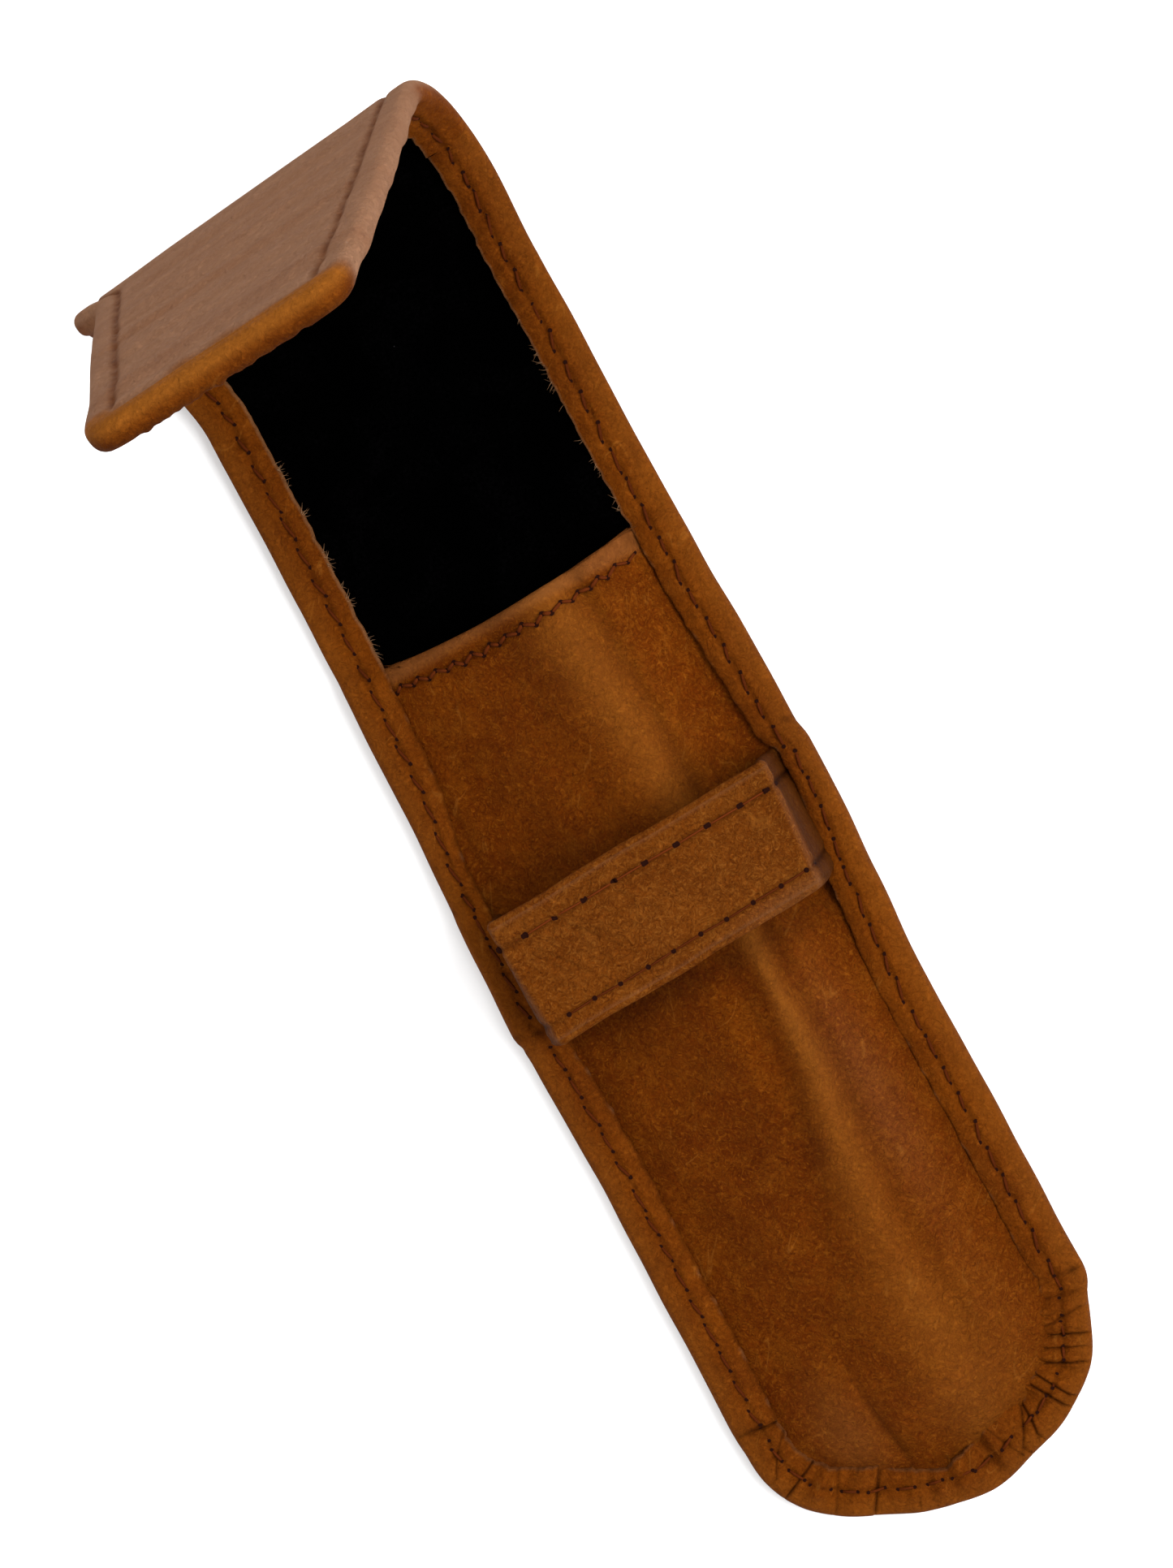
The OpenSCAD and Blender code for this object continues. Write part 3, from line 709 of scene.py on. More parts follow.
def flap_hide():
    """The second half of the fold and the flap, with its hems on the inside and the thicker
    rolled end of its tip."""
    kind, sign, share = tip_end(150, 14, 60)
    kind, sign, share = kind[:, None], sign[:, None], share[:, None]
    parts, d, g = hem_section(18, 30)
    run = tip_point(kind, sign, share, 0 * kind, 0 * kind)[1][:, 0]
    thicker = 0.3 * ease(run, hide_end - 4, hide_end - 1)
    height = hem_top + thicker + 0.06 * wander(run + 40 * sign[:, 0], 4, 15, 31)
    cut = hem + 0.10 * wander(run + 60 * sign[:, 0], 1.1, 8, 12)

    def relief(dist):
        u = np.clip((dist - roll_depth) / (cut[:, None] - roll_depth), 0, 1)
        wave = wander(run[:, None] + 40 * sign + 0.5 * dist, 2.5, 9, 33)
        return 0.18 * np.sin(np.pi * u) - 0.30 * bump(dist, 3.0, 0.42) + 0.06 * wave * u

    dd, nn, gg, raw = hem_surface(parts, d, g, height, cut, relief)
    x, along = tip_point(kind, sign, share, dd, gg)
    outer, on_roll = parts == "back", parts == "roll"
    seam_groove = 0.28 * bump(dd, 3.1, 0.4) * outer * (gg < 0.01)
    streaks = 0.30 * bump(along, 54 + 0.05 * x, 0.9) + 0.22 * bump(along, 60 - 0.03 * x, 0.8)
    streaks = streaks + 0.10 * wander(along + 0.06 * x, 3, 14, 35)
    nn = nn + np.where(outer, seam_groove + streaks * ease(np.abs(x), 16, 9), 0)
    points = lay(along, x, nn)
    # Painted shade in the seam's groove on the hem, along the row of stitches on the outer face and in the two
    # creased streaks.
    dark = np.where(parts == "top", 0.4 * bump(dd, 3.0, 0.35), 0)
    row_line = bump(dd, 3.1, 0.42) * (0.8 + 0.15 * wander(run[:, None], 1.5, 6, 37))
    row_line = np.where(outer & (gg < 0.01) & (kind == 0), row_line, 0)
    streak_line = bump(along, 54.4 + 0.05 * x, 0.5) + 0.7 * bump(along, 60.4 - 0.03 * x, 0.4)
    streak_line = np.where(outer, streak_line * ease(np.abs(x - 1), 14, 7), 0)
    dark = dark + 0.20 * row_line + 0.17 * streak_line
    # Painted sheen of reflected light over the outer face, the roll and the inner edge past the fold, fading
    # before the tip and along the row of stitches.
    past_fold = ease(along, fold_len - 5, fold_len + 4)
    inner_sheen = ease(-dd, -1.9, -1.3) * past_fold
    roll_sheen = np.maximum(ease(nn, 1.6, 0.5), past_fold)
    edge = hide_end - 3.0 + 0.45 * wander(x, 4, 14, 38)
    sheen = np.select([outer, on_roll], [1.0, roll_sheen], inner_sheen)
    sheen = sheen * ease(along, edge + 1.2, edge - 1.6) * (1 - 0.80 * row_line)
    sheen = sheen * (0.95 + 0.05 * wander(along + 0.1 * x, 2.5, 18, 39))
    # Painted highlight on the upper side of the tip's roll, in a lighter, yellower tone.
    bright = np.select([outer, on_roll], [1.0, ease(nn, 1.8, 0.5)], 0)
    bright = bright * ease(along, edge - 1.2, edge + 1.0)
    # Painted shade on the underside of the tip's roll.
    roll_underside_shade = 0.35 * ease(nn, 1.4, 2.6) * ease(along, edge - 1.0, edge + 1.0)
    dark = dark + np.where(on_roll, roll_underside_shade, 0)
    values = {"dark": dark, "sheen": 0.95 * sheen, "raw": np.clip(raw, 0, 1), "light": 0.95 * bright}
    piece = strip_mesh("flap_hide", points, hide_finish, values)
    weld(piece)
    bend_into_flap(piece)
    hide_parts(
        "fold_leather", "fold_hem_left", "fold_hem_right", "flap_leather",
        "flap_hem_left", "flap_hem_right", "flap_hem_tip",
    )


flap_hide()

# ---------------------------------------------------------------------------------------------
# The lining: black velvet, half a millimetre thick, glued to the inside of the hide before the
# hems are turned over its edges.


def velvet():
    """Black pile: nearly no light comes back, a little more along the lie of the pile and from
    specks of lint."""
    f = Finish("black_velvet")
    pile = f.noise(2600.0, 3.0, 0.7)
    lighter_mask = f.noise(120.0, 4.0, 0.6, 0.8)
    lint = f.cells(420.0).between(0.035, 0.012)
    black, grey = (0.0001, 0.0001, 0.0001, 1), (0.02, 0.018, 0.019, 1)
    grey_black = (0.0007, 0.0006, 0.0007, 1)
    colour = f.blended((pile * lighter_mask).between(0.2, 0.5), black, grey_black)
    colour = f.blended(lint * lighter_mask.between(0.56, 0.66), colour, grey)
    normal = f.bumps((pile, 0.0001))
    return f.surface(Base_Color=colour, Roughness=1.0, Normal=normal, Specular_IOR_Level=0.0)


velvet_finish = velvet()


def lining_sheet(name, l, half, swell=0.0):
    """A sheet glued inside the hide: at each place l along the hide it runs half to the left, to
    half to the right and back underneath. It is closed at both ends and swells a little."""
    l, half = np.pad(l, 1, "edge"), np.pad(half, 1, "edge")
    full = np.pad(np.ones(len(l) - 2), 1)[:, None]
    u = np.linspace(-1, 1, 40)
    x = half[:, None] * np.concatenate([u, u[::-1]])
    inner = np.repeat([1.0, 0.0], 40)
    uneven = swell * wander(x + 0.7 * l[:, None], 5, 20, 41)
    n = leather + 0.02 + full * inner * (lining - 0.04 + uneven)
    piece = strip_mesh(name, lay(l[:, None], x, n)[:, ::-1], velvet_finish, closed=True)
    weld(piece)
    return piece


def case_lining():
    """The lining of the back, from the toe, where it ends on an ellipse, to the middle of the
    fold."""
    l_toe = np.linspace(-case_len - 15.5, -case_len, 34)
    l = np.concatenate([l_toe, np.linspace(-case_len, fold_len / 2, 150)[1:]])
    along = np.clip((-case_len - l) / 15.7, 0, 1)
    half = (half_width(np.maximum(l, -case_len), 1.0 + 0 * l) - 1.7) * np.sqrt(1 - along**2)
    piece = lining_sheet("case_lining", l, half, swell=0.03)
    bend_into_fold(piece)
    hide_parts("back_lining")


case_lining()


def flap_lining():
    """The lining of the second half of the fold and of the flap, drawn in at the tip."""
    l = np.linspace(fold_len / 2, hide_end - 1.2, 110)
    half = half_width(l, 1.0 + 0 * l) - 1.4 - 3.5 * ease(l, hide_end - 4, hide_end)
    piece = lining_sheet("flap_lining_velvet", l, half)
    bend_into_flap(piece)
    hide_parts("fold_lining", "flap_lining")


flap_lining()

# ---------------------------------------------------------------------------------------------
# The front of the pocket: thinner hide, 0.8 mm, wetted and domed over what it once held, its rim
# tucked under the hems and its mouth edge turned in and stitched.
inside_top = leather + lining
front_leather_t = 0.8
rim_z = inside_top + front_leather_t


def dome(x, y):
    """Height of the front over its rim: a cosine across, highest beside the middle, lower
    towards the toe, where it ends on an ellipse."""
    a = straight_side(np.maximum(y, toe_y)) - 4.7
    along = np.clip(toe_y - y, 0, None) / 11.8
    u = x / a
    across = u - 3.0 / a * np.clip(1 - u**2 - along**2, 0, None)
    e = np.clip(np.hypot(across, along), 0, 1)
    return 7.5 * np.cos(np.pi / 2 * e) * (0.8 + 0.2 * ease(y, toe_y, toe_y + 40))


def ridge_line(y):
    """Where the long soft ridge runs, and where the groove on its right."""
    bends = (-50, -36, -26, -18, -8, 13, 24, 36)
    ridge_x = np.interp(y, bends, (3.0, 3.8, 4.8, 6.0, 6.4, 6.4, 5.6, 4.4))
    return ridge_x, ridge_x + np.interp(y, (-50, -8, 12, 36), (3.4, 1.9, 2.3, 3.6))


def front_relief(x, y):
    """What wear has added to the dome: a long ridge, steep on its left below the band and broad
    above it, with a groove on its right, a sharp groove into the toe, transverse wrinkles above
    the band and shallow dents."""
    ridge_x, groove_x = ridge_line(y)
    across = x - ridge_x
    left_width = np.interp(y, (-50, -30, -8, 10, 36), (5.0, 2.6, 1.3, 3.4, 3.8))
    ridge = 0.85 * np.exp(-((across / np.where(across < 0, left_width, 1.5)) ** 2)) * ease(y, -54, -34)
    groove = -0.65 * bump(x, groove_x, np.interp(y, (-50, 0, 38), (1.6, 0.8, 1.0))) * ease(y, -62, -44)
    hollow = -0.45 * bump(x, ridge_x - 1.9 * left_width, 2.2) * ease(y, -50, -30)
    toe_groove_x = -5.3 - 0.085 * (y + 58)
    toe_groove = -0.8 * np.exp(-np.abs(x - toe_groove_x) / (0.45 + 0.13 * np.clip(y + 60, 0, 14)))
    toe_groove = toe_groove * ease(y, -38, -52) + 0.3 * bump(x, toe_groove_x - 3, 2.0) * ease(y, -40, -54)
    left_dent = -0.5 * bump(x, -9.5, 4.5) * bump(y, 12, 14)
    wrinkles = 0.06 * np.sin(2 * np.pi * (y + 0.25 * x + 0.3 * wander(x, 4, 12, 51)) / 1.5)
    wrinkles = wrinkles * bump(y, 15.5, 3.2) * bump(x, -7, 4.5)
    dents = 0.10 * wander(x + 0.4 * y, 7, 26, 52) + 0.08 * wander(y - 0.6 * x, 6, 24, 53)
    edge = ease(dome(x, y), 0.05, 1.6)
    return edge * (groove + ridge + hollow + toe_groove + left_dent + wrinkles + dents)


def mouth_sag(x):
    """How far the mouth's edge curves back towards the toe."""
    return -1.25 * np.clip(1 - (x / 14.6) ** 2, 0, None)


def front_panel():
    """The front and its turned mouth edge as one sheet: rows run from the toe to the mouth, round
    the edge's roll and 5 mm back underneath. Thickness comes from a Solidify modifier."""
    columns = 151
    u = np.linspace(-1, 1, columns)
    y_rows = toe_tip_y + 1.9 + (mouth_y - 0.8 - toe_tip_y - 1.9) * np.linspace(0, 1, 265) ** 1.08
    roll = np.linspace(0, np.pi, 9)[1:]
    under = np.linspace(0, -4.6, 8)[1:]
    flat_y = np.concatenate([y_rows, y_rows[-1] + 0.8 * np.sin(roll), y_rows[-1] + under])
    depth = np.concatenate([0 * y_rows, 0.8 * (1 - np.cos(roll)), 1.6 + 0 * under])
    along = np.clip((toe_y - flat_y) / 15.4, 0, 0.9999)
    straight = straight_side(np.maximum(flat_y, toe_y)) - roll_depth
    w = straight * np.sqrt(1 - along**2)
    w = np.where(depth > 0.3, np.minimum(w, 15.0), w)
    x = w[:, None] * u
    share = np.clip((flat_y - toe_tip_y - 8) / (mouth_y - toe_tip_y - 8), 0, 1)[:, None]
    sag = mouth_sag(x)
    slant = 0.018 * x
    y = flat_y[:, None] + (sag + slant) * share**3
    base_y = np.minimum(y, mouth_y)
    top = rim_z + dome(x, base_y) + front_relief(x, base_y)
    pressed = -0.28 * bump(y, mouth_y - 2.6 + sag + slant, 0.5) * ease(dome(x, base_y), 0.2, 1.5)
    padded = 0.22 * ease(y, mouth_y - 3.2, mouth_y - 1.8) * ease(dome(x, base_y), 0.2, 1.5)
    z = top + np.where(depth[:, None] < 0.01, pressed, 0) + padded - np.minimum(depth[:, None], 1.6)
    points = np.stack([x, y, z], -1)
    inset = straight[:, None] + 1.4 - np.abs(x)
    hem_line = np.where(y > toe_y, inset, 40)
    ellipse = np.hypot(x / 15.2, np.clip(toe_y - y, 0, None) / 11.7)
    # Painted shade: beside the hems and round the toe, darker towards the toe and the lower right, in the
    # grooves, on the ridge's left flank and as shadows along both edges of the keeper band.
    shade = 0.14 * ease(hem_line, 6.3, 5.0) * (1 - band_side(y) * 0.5)
    shade = np.maximum(shade, np.where(y < toe_y, 0.14 * ease(ellipse, 0.90, 1.0), 0))
    ridge_x, groove_x = ridge_line(y)
    lower = ease(y, -2, -6)
    shade = shade + 0.05 * ease(y, -8, -30) + 0.05 * ease(x, 1, 7) * ease(y, 2, -12)
    shade = shade + 0.20 * bump(x, groove_x, 0.6) * ease(y, -46, -20)
    shade = shade + 0.26 * lower * bump(x, ridge_x - 2.6, 1.3) * ease(y, -36, -20)
    shade = shade + 0.12 * bump(x, -1.0, 3.2) * ease(y, -52, -40)
    shade = shade + 0.35 * bump(x, -5.4 - 0.085 * (y + 58), 0.35) * ease(y, -46, -54)
    shade = shade + 0.22 * bump(y, band_high + 0.8, 2.4) + 0.30 * bump(y, band_low - 0.8, 1.8)
    # Painted highlight along the crest of the ridge and on the curled mouth edge, and lighter patches near the
    # toe.
    crest = np.interp(y, (-44, -20, -8, 10, 36), (3.2, 1.7, 0.9, 2.6, 3.4))
    strength = np.interp(y, (-50, -30, -12, -4, 10, 36), (0.15, 0.42, 0.6, 0.6, 0.42, 0.5))
    light = strength * bump(x, ridge_x + 0.1, crest) + 0.25 * bump(x, 6.0, 6) * ease(y, -36, -48)
    light = light + 0.25 * bump(x, -9.5, 3.2) * bump(y, -54, 6) + 0.5 * ease(y, mouth_y - 2.8, mouth_y - 1.6)
    # Painted sheen of reflected light on the mouth edge, at the lower right and on a spot near the toe.
    sheen = 0.40 * ease(y, mouth_y - 2.8, mouth_y - 1.6) + 0.22 * bump(x, 9.8, 2.6) * bump(y, -23, 13)
    sheen = sheen + 0.14 * bump(x, -9.5, 3.2) * bump(y, -54, 6)
    values = {"dark": np.clip(shade, 0, 0.6), "sheen": sheen, "raw": 0 * x, "light": np.clip(light, 0, 1)}
    finish = tan_leather(
        "front_hide_tan",
        ((0.088, 0.0158, 0.0006, 1), (0.116, 0.0232, 0.0008, 1), (0.182, 0.050, 0.0030, 1)),
        grain=1.1,
        contrast=1.1,
        sheen_colour=(0.170, 0.060, 0.021, 1),
    )
    values = {key: value[::-1] for key, value in values.items()}
    piece = strip_mesh("pocket_front", points[::-1], finish, values)
    thick = piece.modifiers.new("thickness", "SOLIDIFY")
    thick.thickness, thick.offset = 0.75 * MM, -1
    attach(piece, "case")
    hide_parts("front_leather", "mouth_hem")


front_panel()


def front_lining():
    """The pocket's own lining under the front, a sheet that follows the dome from underneath."""
    u = np.linspace(-1, 1, 41)
    y = np.pad(np.linspace(toe_y - 6, mouth_y - 4.9, 80), 1, "edge")[:, None]
    x = 11.6 * u[None, :]
    full = np.pad(np.ones((80, 1)), ((1, 1), (0, 0)))
    top = inside_top + dome(x, y) + np.minimum(front_relief(x, y), 0) - 0.35
    sheet_t = 0.35 * full * ease(dome(x, y), 0.2, 1.5)
    upper = np.stack([x + 0 * y, y + 0 * x, top], -1)
    lower = np.stack([x + 0 * y, y + 0 * x, top - sheet_t], -1)
    section = np.concatenate([upper, lower[:, ::-1]], 1)
    piece = strip_mesh("pocket_front_lining", section[:, ::-1], velvet_finish, closed=True)
    weld(piece)
    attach(piece, "case")
    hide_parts("front_lining")


front_lining()

# ---------------------------------------------------------------------------------------------
# The keeper band: a strip of the same hide with both long edges turned under and stitched, bent
# over the front as a flat-topped bridge, its feet caught under the side hems.
band_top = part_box("keeper_band")[1].z / MM + 0.6
band_middle = (band_low + band_high) / 2
band_half = (band_high - band_low) / 2
upper_row, lower_row = band_half - 2.85, -band_half + 2.35


def band_path(rows):
    """Half widths and heights along the band's outer face, from the left foot up the wall, round
    the corner, over the slightly crowned top and down on the right, evenly spaced."""
    corner = np.linspace(0, np.pi / 2, 12)
    x = np.concatenate([[18.25, 17.5, 17.05], 16.1 - 0.7 + 0.7 * np.cos(corner)])
    z = np.concatenate([[3.1, 3.12, 3.6], band_top - 0.15 - 0.7 + 0.7 * np.sin(corner)])
    x, z = np.concatenate([-x, [0.0], x[::-1]]), np.concatenate([z, [band_top], z[::-1]])
    run = np.concatenate([[0], np.cumsum(np.hypot(np.diff(x), np.diff(z)))])
    even = np.linspace(0, run[-1], rows)
    return np.interp(even, run, x), np.interp(even, run, z), even - run[-1] / 2


def band_place(x, z, v):
    """Where a point of the path lies at v across the band: the top is pulled 0.6 mm to the right,
    is 1 mm longer on each side at the upper edge, and runs a little askew."""
    on_top = ease(z, band_top - 4, band_top - 0.6)
    taper = 1 + 0.029 * (v - band_half) / band_half * on_top
    slope = 0.054 - 0.003 * v / band_half
    shift = 0.6 * np.where(x > 0, on_top, ease(z, 3.1, 3.7))
    return x * taper + shift, band_middle + 0.55 + 0.98 * v + slope * x


def band_face(run, v):
    """How deep the band's face lies at a place: pressed in along the two rows of stitches,
    swollen between them, rippled, and crackled on the left."""
    press = 0.26 * bump(v, upper_row, 0.45) + 0.22 * bump(v, lower_row, 0.45)
    pillow = -0.22 * np.clip(1 - (np.abs(v) / band_half) ** 4, 0, 1) + 0.15
    crackle = wander(run * 1.2 + v * 0.9, 0.8, 1.6, 61) * bump(run, -8, 7) * bump(v, 0.5, 4.5)
    return press + pillow + 0.035 * wander(run + 0.5 * v, 5, 18, 62) + 0.07 * crackle


def keeper_band():
    """The band's section, a flat strip with rolled long edges of double thickness, carried along
    its path. The bridge is a little wider at its upper edge and skewed on the case."""
    x, z, run = band_path(330)
    tangent = np.stack([np.gradient(x), np.gradient(z)], -1)
    tangent[1:-1] = (tangent[:-2] + tangent[1:-1] * 2 + tangent[2:]) / 4
    tangent /= np.linalg.norm(tangent, axis=-1, keepdims=True)
    normal = np.stack([-tangent[:, 1], tangent[:, 0]], -1)
    face = np.linspace(-band_half + 0.7, band_half - 0.7, 61)
    turn = np.linspace(0, np.pi, 11)[1:-1]
    edge = band_half - 0.8
    inner = np.array([edge, edge - 3.4, edge - 3.8, 0, -edge + 3.8, -edge + 3.4, -edge])
    v = np.concatenate([face, edge + 0.8 * np.sin(turn), inner, -edge - 0.8 * np.sin(turn)])
    inner_n = [1.24, 1.24, 0.85, 0.85, 0.85, 1.24, 1.24]
    n = [0 * face, 0.62 * (1 - np.cos(turn)), inner_n, 0.62 * (1 + np.cos(turn))]
    n = np.concatenate(n)
    outer = np.concatenate([np.ones(len(face)), np.zeros(len(v) - len(face))])
    depth = n[None, :] + outer * band_face(run[:, None], v[None, :])
    px, py = band_place(x[:, None], z[:, None], v[None, :])
    px = px - normal[:, :1] * depth
    pz = z[:, None] - normal[:, 1:] * depth
    py = py + 0.05 * wander(run, 6, 25, 63)[:, None] * v[None, :] / band_half
    points = np.stack([px, py + 0 * pz, pz], -1)
    # Painted shade in the pressed rows of stitches and on the side walls, which face away from the light.
    wall = ease(z, band_top - 1.0, band_top - 3.5)[:, None] + 0 * v
    dark = outer * (0.35 * bump(v, upper_row, 0.32) + 0.30 * bump(v, lower_row, 0.32)) + 0.58 * wall
    # Painted sheen along the long edges, on the corner line and along the lower edge on the right, kept off
    # the side walls.
    lighter_mask = 0.45 * bump(np.abs(v), band_half - 0.72, 0.2) * outer + 0.30 * bump(np.abs(x[:, None]), 15.9, 0.2)
    lighter_mask = lighter_mask + 0.22 * ease(-v, band_half - 2.2, band_half - 1.4) * ease(x, 2, 12)[:, None]
    lighter_mask = lighter_mask * (1 - 0.8 * wall)
    values = {"dark": dark, "sheen": np.clip(lighter_mask, 0, 0.6), "raw": 0 * dark, "light": 0.12 + 0 * dark}
    finish = tan_leather(
        "band_hide_tan",
        ((0.102, 0.0216, 0.0014, 1), (0.136, 0.0315, 0.0020, 1), (0.206, 0.064, 0.0080, 1)),
        grain=1.6,
        contrast=1.4,
        sheen_colour=(0.170, 0.068, 0.026, 1),
    )
    piece = strip_mesh("keeper_band_strip", points, finish, values, closed=True)
    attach(piece, "case")
    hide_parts("keeper_band", "band_hem_upper", "band_hem_lower")


keeper_band()

# ---------------------------------------------------------------------------------------------
# The thread: waxed red-brown linen. Each stitch lies in the groove that it has drawn into the
# leather and goes down at both ends through a dark hole.


def thread():
    """Dark red-brown twisted thread, lighter where it is rubbed, and near black on the flat discs that paint
    the shade of the needle holes.
    """
    f = Finish("red_brown_thread")
    hole, bright = f.value("hole"), f.value("bright")
    twist = f.noise(3500.0, 2.0, 0.6, 0.5)
    colour = f.blended(twist, (0.030, 0.0055, 0.0006, 1), (0.074, 0.0130, 0.0010, 1))
    colour = f.blended(bright, colour, (0.115, 0.022, 0.003, 1))
    # painted shade of the needle holes, on the flat discs
    colour = f.blended(hole, colour, (0.010, 0.0018, 0.0006, 1))
    normal = f.bumps((twist, 0.0001))
    return f.surface(Base_Color=colour, Roughness=0.85, Normal=normal, Specular_IOR_Level=0.04)


thread_finish = thread()


def stitches(name, starts, ends, ups, width, height, hole, bright):
    """Stitches as one mesh: each is a bent strand from its start to its end, with a round
    section, highest in the middle and sunk at both ends, and a flat dark disc under each end,
    painted shade standing for its needle hole.
    starts, ends and ups are arrays with one row for each stitch."""
    count = len(starts)
    t = np.linspace(0, 1, 7)
    around = np.linspace(0, 2 * np.pi, 6, endpoint=False)
    run = ends - starts
    length = np.linalg.norm(run, axis=-1, keepdims=True)
    tangent = run / length
    side = np.cross(ups, tangent)
    centre = starts[:, None] + run[:, None] * t[None, :, None]
    arch = (np.sin(np.pi * t) ** 0.6)[None, :, None]
    centre = centre + ups[:, None] * ((arch * 1.3 - 0.75) * height)
    thick = (0.55 + 0.45 * np.sin(np.pi * t) ** 0.5) * width / 2
    turn = around[None, None, :, None]
    ring = side[:, None, None] * np.cos(turn) + ups[:, None, None] * np.sin(turn)
    strand = centre[:, :, None] + ring * thick[None, :, None, None]
    points = [strand.reshape(-1, 3)]
    cell = np.arange(7 * 6).reshape(7, 6)
    cell = np.concatenate([cell, cell[:, :1]], 1)
    quad = np.stack([cell[:-1, :-1], cell[:-1, 1:], cell[1:, 1:], cell[1:, :-1]], -1).reshape(-1, 4)
    quads = [(quad[None] + 42 * np.arange(count)[:, None, None]).reshape(-1, 4)]
    is_hole = [np.zeros(count * 42)]
    # Painted shade: a flat dark disc just over the surface at each end, standing for the needle hole.
    if hole > 0:
        spots = np.concatenate([starts, ends])
        rim = np.linspace(0, 2 * np.pi, 8, endpoint=False)
        up2, side2, tan2 = (np.concatenate([a, a]) for a in (ups, side, tangent))
        disc = side2[:, None] * np.cos(rim)[None, :, None] + tan2[:, None] * np.sin(rim)[None, :, None]
        lift = 0.04
        discs = spots[:, None] + disc * hole / 2 + up2[:, None] * lift
        base = count * 42
        fan = np.array([[0, 1, 2, 3], [0, 3, 4, 7], [4, 5, 6, 7]])
        quads.append((fan[None] + base + 8 * np.arange(2 * count)[:, None, None]).reshape(-1, 4))
        points.append(discs.reshape(-1, 3))
        is_hole.append(np.ones(len(spots) * 8))
    hole_values = np.concatenate(is_hole)
    values = {"hole": hole_values, "bright": bright * (1 - hole_values)}
    return sewn_mesh(name, np.concatenate(points), np.concatenate(quads), thread_finish, values)


def on_case_hem(run_along, side, d):
    """Points on the hem's surface beside the back, at l and d."""
    y = fold_y + run_along
    ones = 0 * run_along
    relief = case_relief(run_along, ones + side, ones)
    n = case_hem_height(y) + relief((d + 0 * run_along)[:, None])[:, 0]
    x = side * (half_width(run_along, ones + side) - d)
    return lay(run_along, x, n)


def up_from(run_along, x, n):
    """The inward direction of the hide at a place."""
    higher, lower = lay(run_along, x, n + 0.5), lay(run_along, x, n)
    up = higher - lower
    return up / np.linalg.norm(up, axis=-1, keepdims=True)


def side_seam(name, side, *nodes):
    """The seam of a side hem from the toe to the middle of the fold: slanted stitches of uneven
    length, 3 mm from the edge and nearer to it beside the band."""
    draw = np.random.default_rng(70 + side)
    at = np.arange(-case_len + 1.2, fold_len / 2 - 1.0, stitch_pitch)
    at = at + draw.uniform(-0.25, 0.25, len(at))
    half = draw.uniform(0.85, 1.25, len(at))
    inset = seam_line(fold_y + at, side)
    slant = draw.uniform(0.10, 0.34, len(at)) * side
    starts = on_case_hem(at - half, side, inset + slant * side)
    ends = on_case_hem(at + half, side, inset - slant * side)
    ups = up_from(at, side * 17.0, 2.5 + 0 * at)
    piece = stitches(name, starts, ends, ups, 0.36, 0.22, 0.48, 0.0)
    bend_into_fold(piece)
    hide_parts(*nodes)


side_seam("side_seam_left", -1, "seam_left")
side_seam("side_seam_right", 1, "seam_right")


def toe_seam():
    """The seam round the toe, over the pleats."""
    draw = np.random.default_rng(75)
    angle = np.radians(np.arange(184, 358, 10.2))
    angle = angle + draw.uniform(-0.02, 0.02, len(angle))
    half = draw.uniform(0.045, 0.066, len(angle))

    def at(a, d):
        l, c, s = -case_len + 0 * a, np.cos(a), np.sin(a)
        n = 3.3 + case_relief(l, c, s)((d + 0 * a)[:, None])[:, 0]
        x, along = toe_point(l, c, s, d, 0.0)
        return lay(along, x, n + 0.05)

    starts, ends = at(angle - half, 2.9 + 0 * angle), at(angle + half, 3.1 + 0 * angle)
    ups = np.tile([0.0, 0.0, 1.0], (len(angle), 1))
    piece = stitches("toe_seam", starts, ends, ups, 0.32, 0.20, 0.42, 0.1)
    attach(piece, "case")
    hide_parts("seam_toe")


toe_seam()


def flap_seams():
    """The seams of the flap, seen on its lined side, and of the upper half of the fold."""
    draw = np.random.default_rng(77)
    starts, ends, ups = [], [], []
    for side in (-1.0, 1.0):
        at = np.arange(fold_len / 2 + 1.6, hide_end - 5, stitch_pitch)
        at = at + draw.uniform(-0.25, 0.25, len(at))
        half = draw.uniform(0.85, 1.2, len(at))
        for ends_list, sign in ((starts, -1), (ends, 1)):
            l = at + sign * half
            x = side * (half_width(l, side + 0 * l) - 3.0 - sign * 0.2)
            ends_list.append(lay(l, x, 2.36 + 0 * l))
        ups.append(up_from(at, side * (half_width(at, side + 0 * at) - 3.0), 2.5 + 0 * at))
    across = np.arange(-9.6, 9.7, stitch_pitch)
    l = hide_end - 3.0 + 0 * across
    starts.append(lay(l, across - 1.05, 2.6 + 0 * l))
    ends.append(lay(l, across + 1.05, 2.6 + 0 * l))
    ups.append(up_from(l, across, 2.5 + 0 * l))
    starts, ends, ups = (np.concatenate(a) for a in (starts, ends, ups))
    piece = stitches("flap_seams", starts, ends, ups, 0.36, 0.22, 0.48, 0.0)
    bend_into_flap(piece)
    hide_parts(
        "fold_seam_left", "fold_seam_right", "flap_seam_left", "flap_seam_right", "flap_seam_tip"
    )


flap_seams()


def on_front(x, y):
    """Points on the outer face of the front."""
    return np.stack([x, y, rim_z + dome(x, y) + front_relief(x, y) + 0.02], -1)


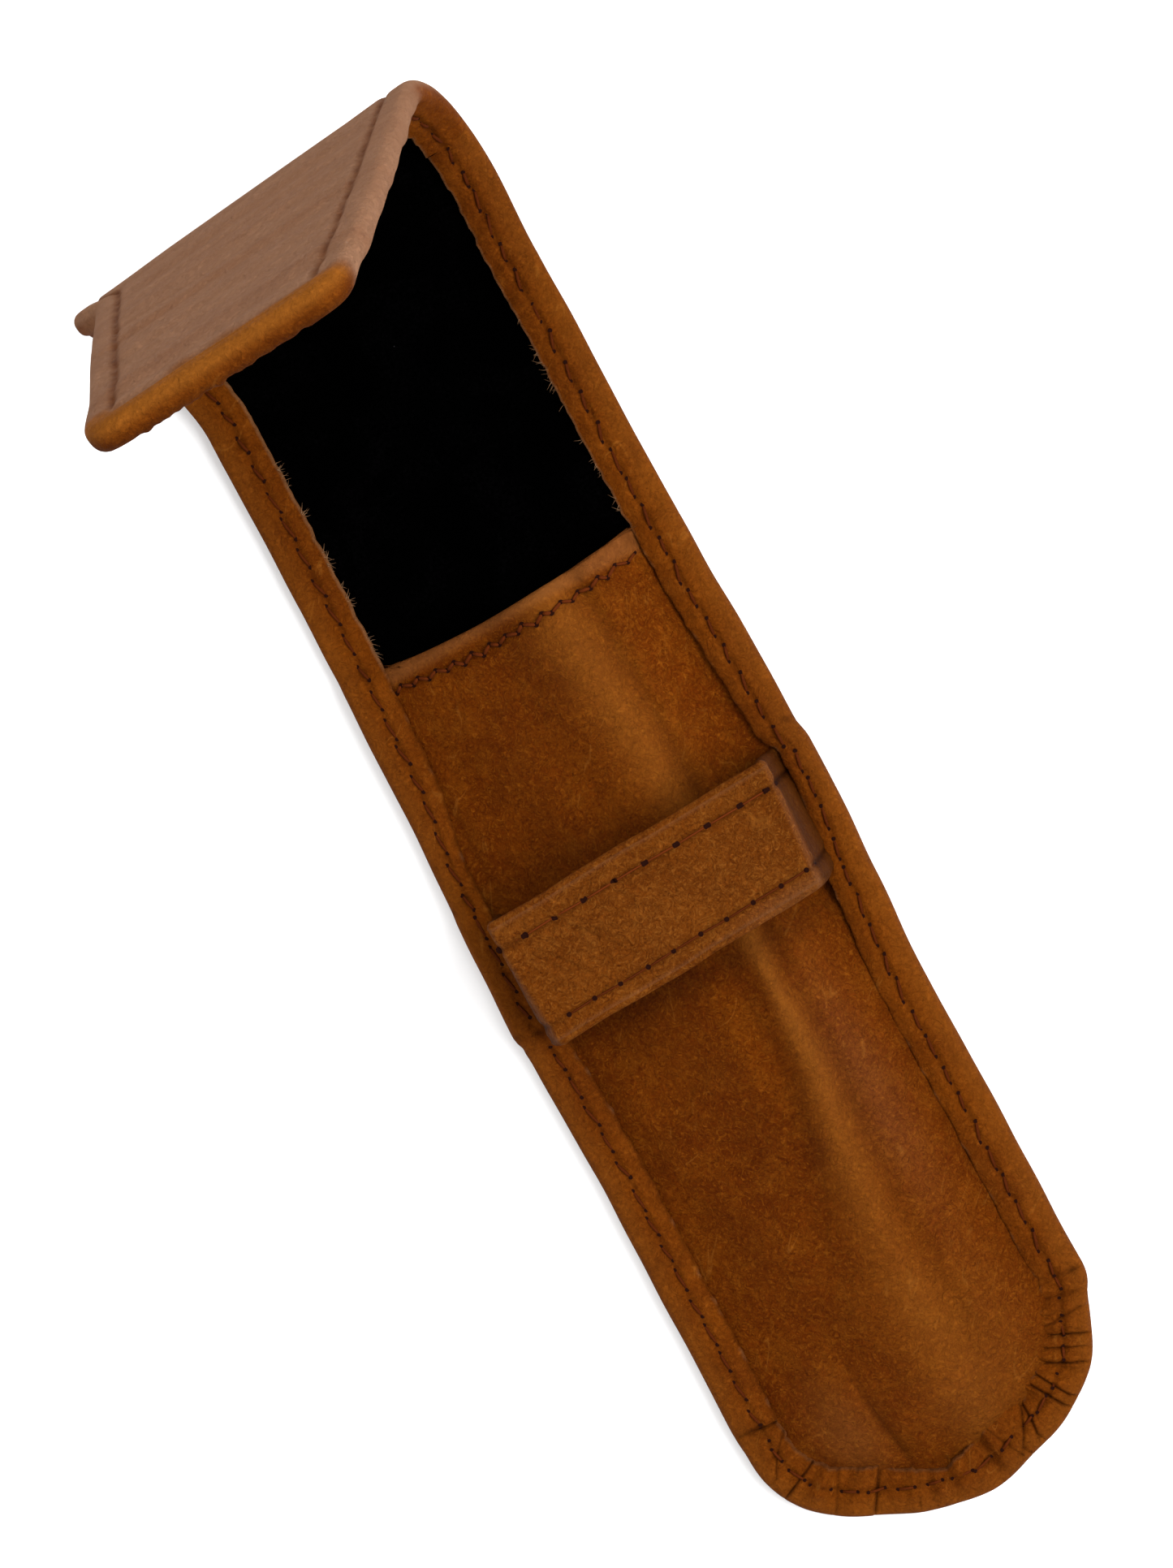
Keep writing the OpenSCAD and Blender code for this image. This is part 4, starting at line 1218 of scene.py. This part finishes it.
def mouth_seam():
    """The zigzag row below the mouth."""
    draw = np.random.default_rng(79)
    x = np.arange(-14.3, 15.1, 1.05)
    sag = mouth_sag(x)
    x = x + draw.uniform(-0.15, 0.15, len(x))
    y = mouth_y - 2.6 + sag + 0.018 * x + np.where(np.arange(len(x)) % 2, 0.30, -0.25)
    y = y + draw.uniform(-0.12, 0.12, len(x))
    places = on_front(x, y)
    ups = np.tile([0.0, 0.0, 1.0], (len(x) - 1, 1))
    piece = stitches("mouth_seam", places[:-1], places[1:], ups, 0.44, 0.22, 0.58, 0.25)
    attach(piece, "case")
    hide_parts("seam_mouth")


mouth_seam()


def band_seam(name, v, at, hole, width, bright, node, seed):
    """A row of stitches along the keeper band between needle holes at the given places."""
    draw = np.random.default_rng(seed)
    x, z, run = band_path(400)
    at = at + draw.uniform(-0.10, 0.10, len(at))
    v = v + draw.uniform(-0.07, 0.07, len(at))

    def on_band(r, v):
        px, pz = np.interp(r, run, x), np.interp(r, run, z)
        px, py = band_place(px, pz, v)
        return np.stack([px, py, pz - band_face(r, v) + 0.03], -1)

    starts, ends = on_band(at[:-1], v[:-1]), on_band(at[1:], v[1:])
    ups = np.tile([0.0, 0.0, 1.0], (len(at) - 1, 1))
    piece = stitches(name, starts, ends, ups, width, 0.14, hole, bright)
    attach(piece, "case")
    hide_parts(node)


step = np.arange(8)
upper_holes = np.array([-16.4, *(-13.0 + 3.38 * step + 0.028 * step**2), 15.05, 17.6])
lower_holes = np.array([*(-13.5 + 3.21 * np.arange(10)), 17.9])
band_seam("band_seam_upper_row", upper_row, upper_holes, 0.82, 0.22, 0.6, "band_seam_upper", 81)
band_seam("band_seam_lower_row", lower_row, lower_holes, 0.55, 0.22, 0.1, "band_seam_lower", 82)

# ---------------------------------------------------------------------------------------------
# Loose fibres: where the hem's cut edge lies on the black lining, ends of the hide's own fibres
# stand out of it, pale and as fine as hair.


def fibres():
    """Fibres as one mesh: each is a bent tapered spike with three sides, from the cut edge over
    the lining, its length and direction drawn at random."""
    draw = np.random.default_rng(90)
    count = 260
    y = draw.uniform(mouth_y + 0.8, fold_y - 5, count)
    side = np.where(draw.uniform(size=count) < 0.6, -1.0, 1.0)
    keep = ease(wander(y + 35 * side, 2, 14, 91), -0.6, 0.8) > draw.uniform(size=count)
    y, side = y[keep], side[keep]
    count = len(y)
    l = y - fold_y
    width = case_cut(l, side, 0 * l)
    root = lay(l, side * (half_width(l, side) - width + 0.12), 2.0 + draw.uniform(-0.3, 0.3, count))
    length = draw.uniform(0.25, 0.95, count)[:, None]
    lean = draw.uniform(-0.9, 0.9, count)
    way = np.stack([-side * np.cos(lean), np.sin(lean), draw.uniform(-0.15, 0.35, count)], -1)
    sweep = np.stack([0 * lean, draw.uniform(-0.4, 0.4, count), -0.2 + 0 * lean], -1)
    across = np.cross(way, [0, 0, 1.0])
    across /= np.linalg.norm(across, axis=-1, keepdims=True)
    t = np.array([0.0, 0.5, 1.0])[None, :, None]
    centre = root[:, None] + length[:, None] * (way[:, None] * t + sweep[:, None] * t**2)
    turn = np.radians([90, 210, 330])
    ring = across[:, None, None] * np.cos(turn)[:, None] + np.array([0, 0, 1.0]) * np.sin(turn)[:, None]
    thick = (0.045 - 0.038 * t)[..., None]
    points = (centre[:, :, None] + ring * thick).reshape(-1, 3)
    cell = np.arange(9).reshape(3, 3)
    cell = np.concatenate([cell, cell[:, :1]], 1)
    quad = np.stack([cell[:-1, :-1], cell[:-1, 1:], cell[1:, 1:], cell[1:, :-1]], -1).reshape(-1, 4)
    quads = (quad[None] + 9 * np.arange(count)[:, None, None]).reshape(-1, 4)
    f = Finish("pale_fibre")
    tint = f.noise(900.0)
    colour = f.blended(tint, (0.10, 0.045, 0.018, 1), (0.30, 0.17, 0.09, 1))
    finish = f.surface(Base_Color=colour, Roughness=0.9, Specular_IOR_Level=0.02)
    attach(sewn_mesh("loose_fibres", points, quads, finish), "case")


fibres()
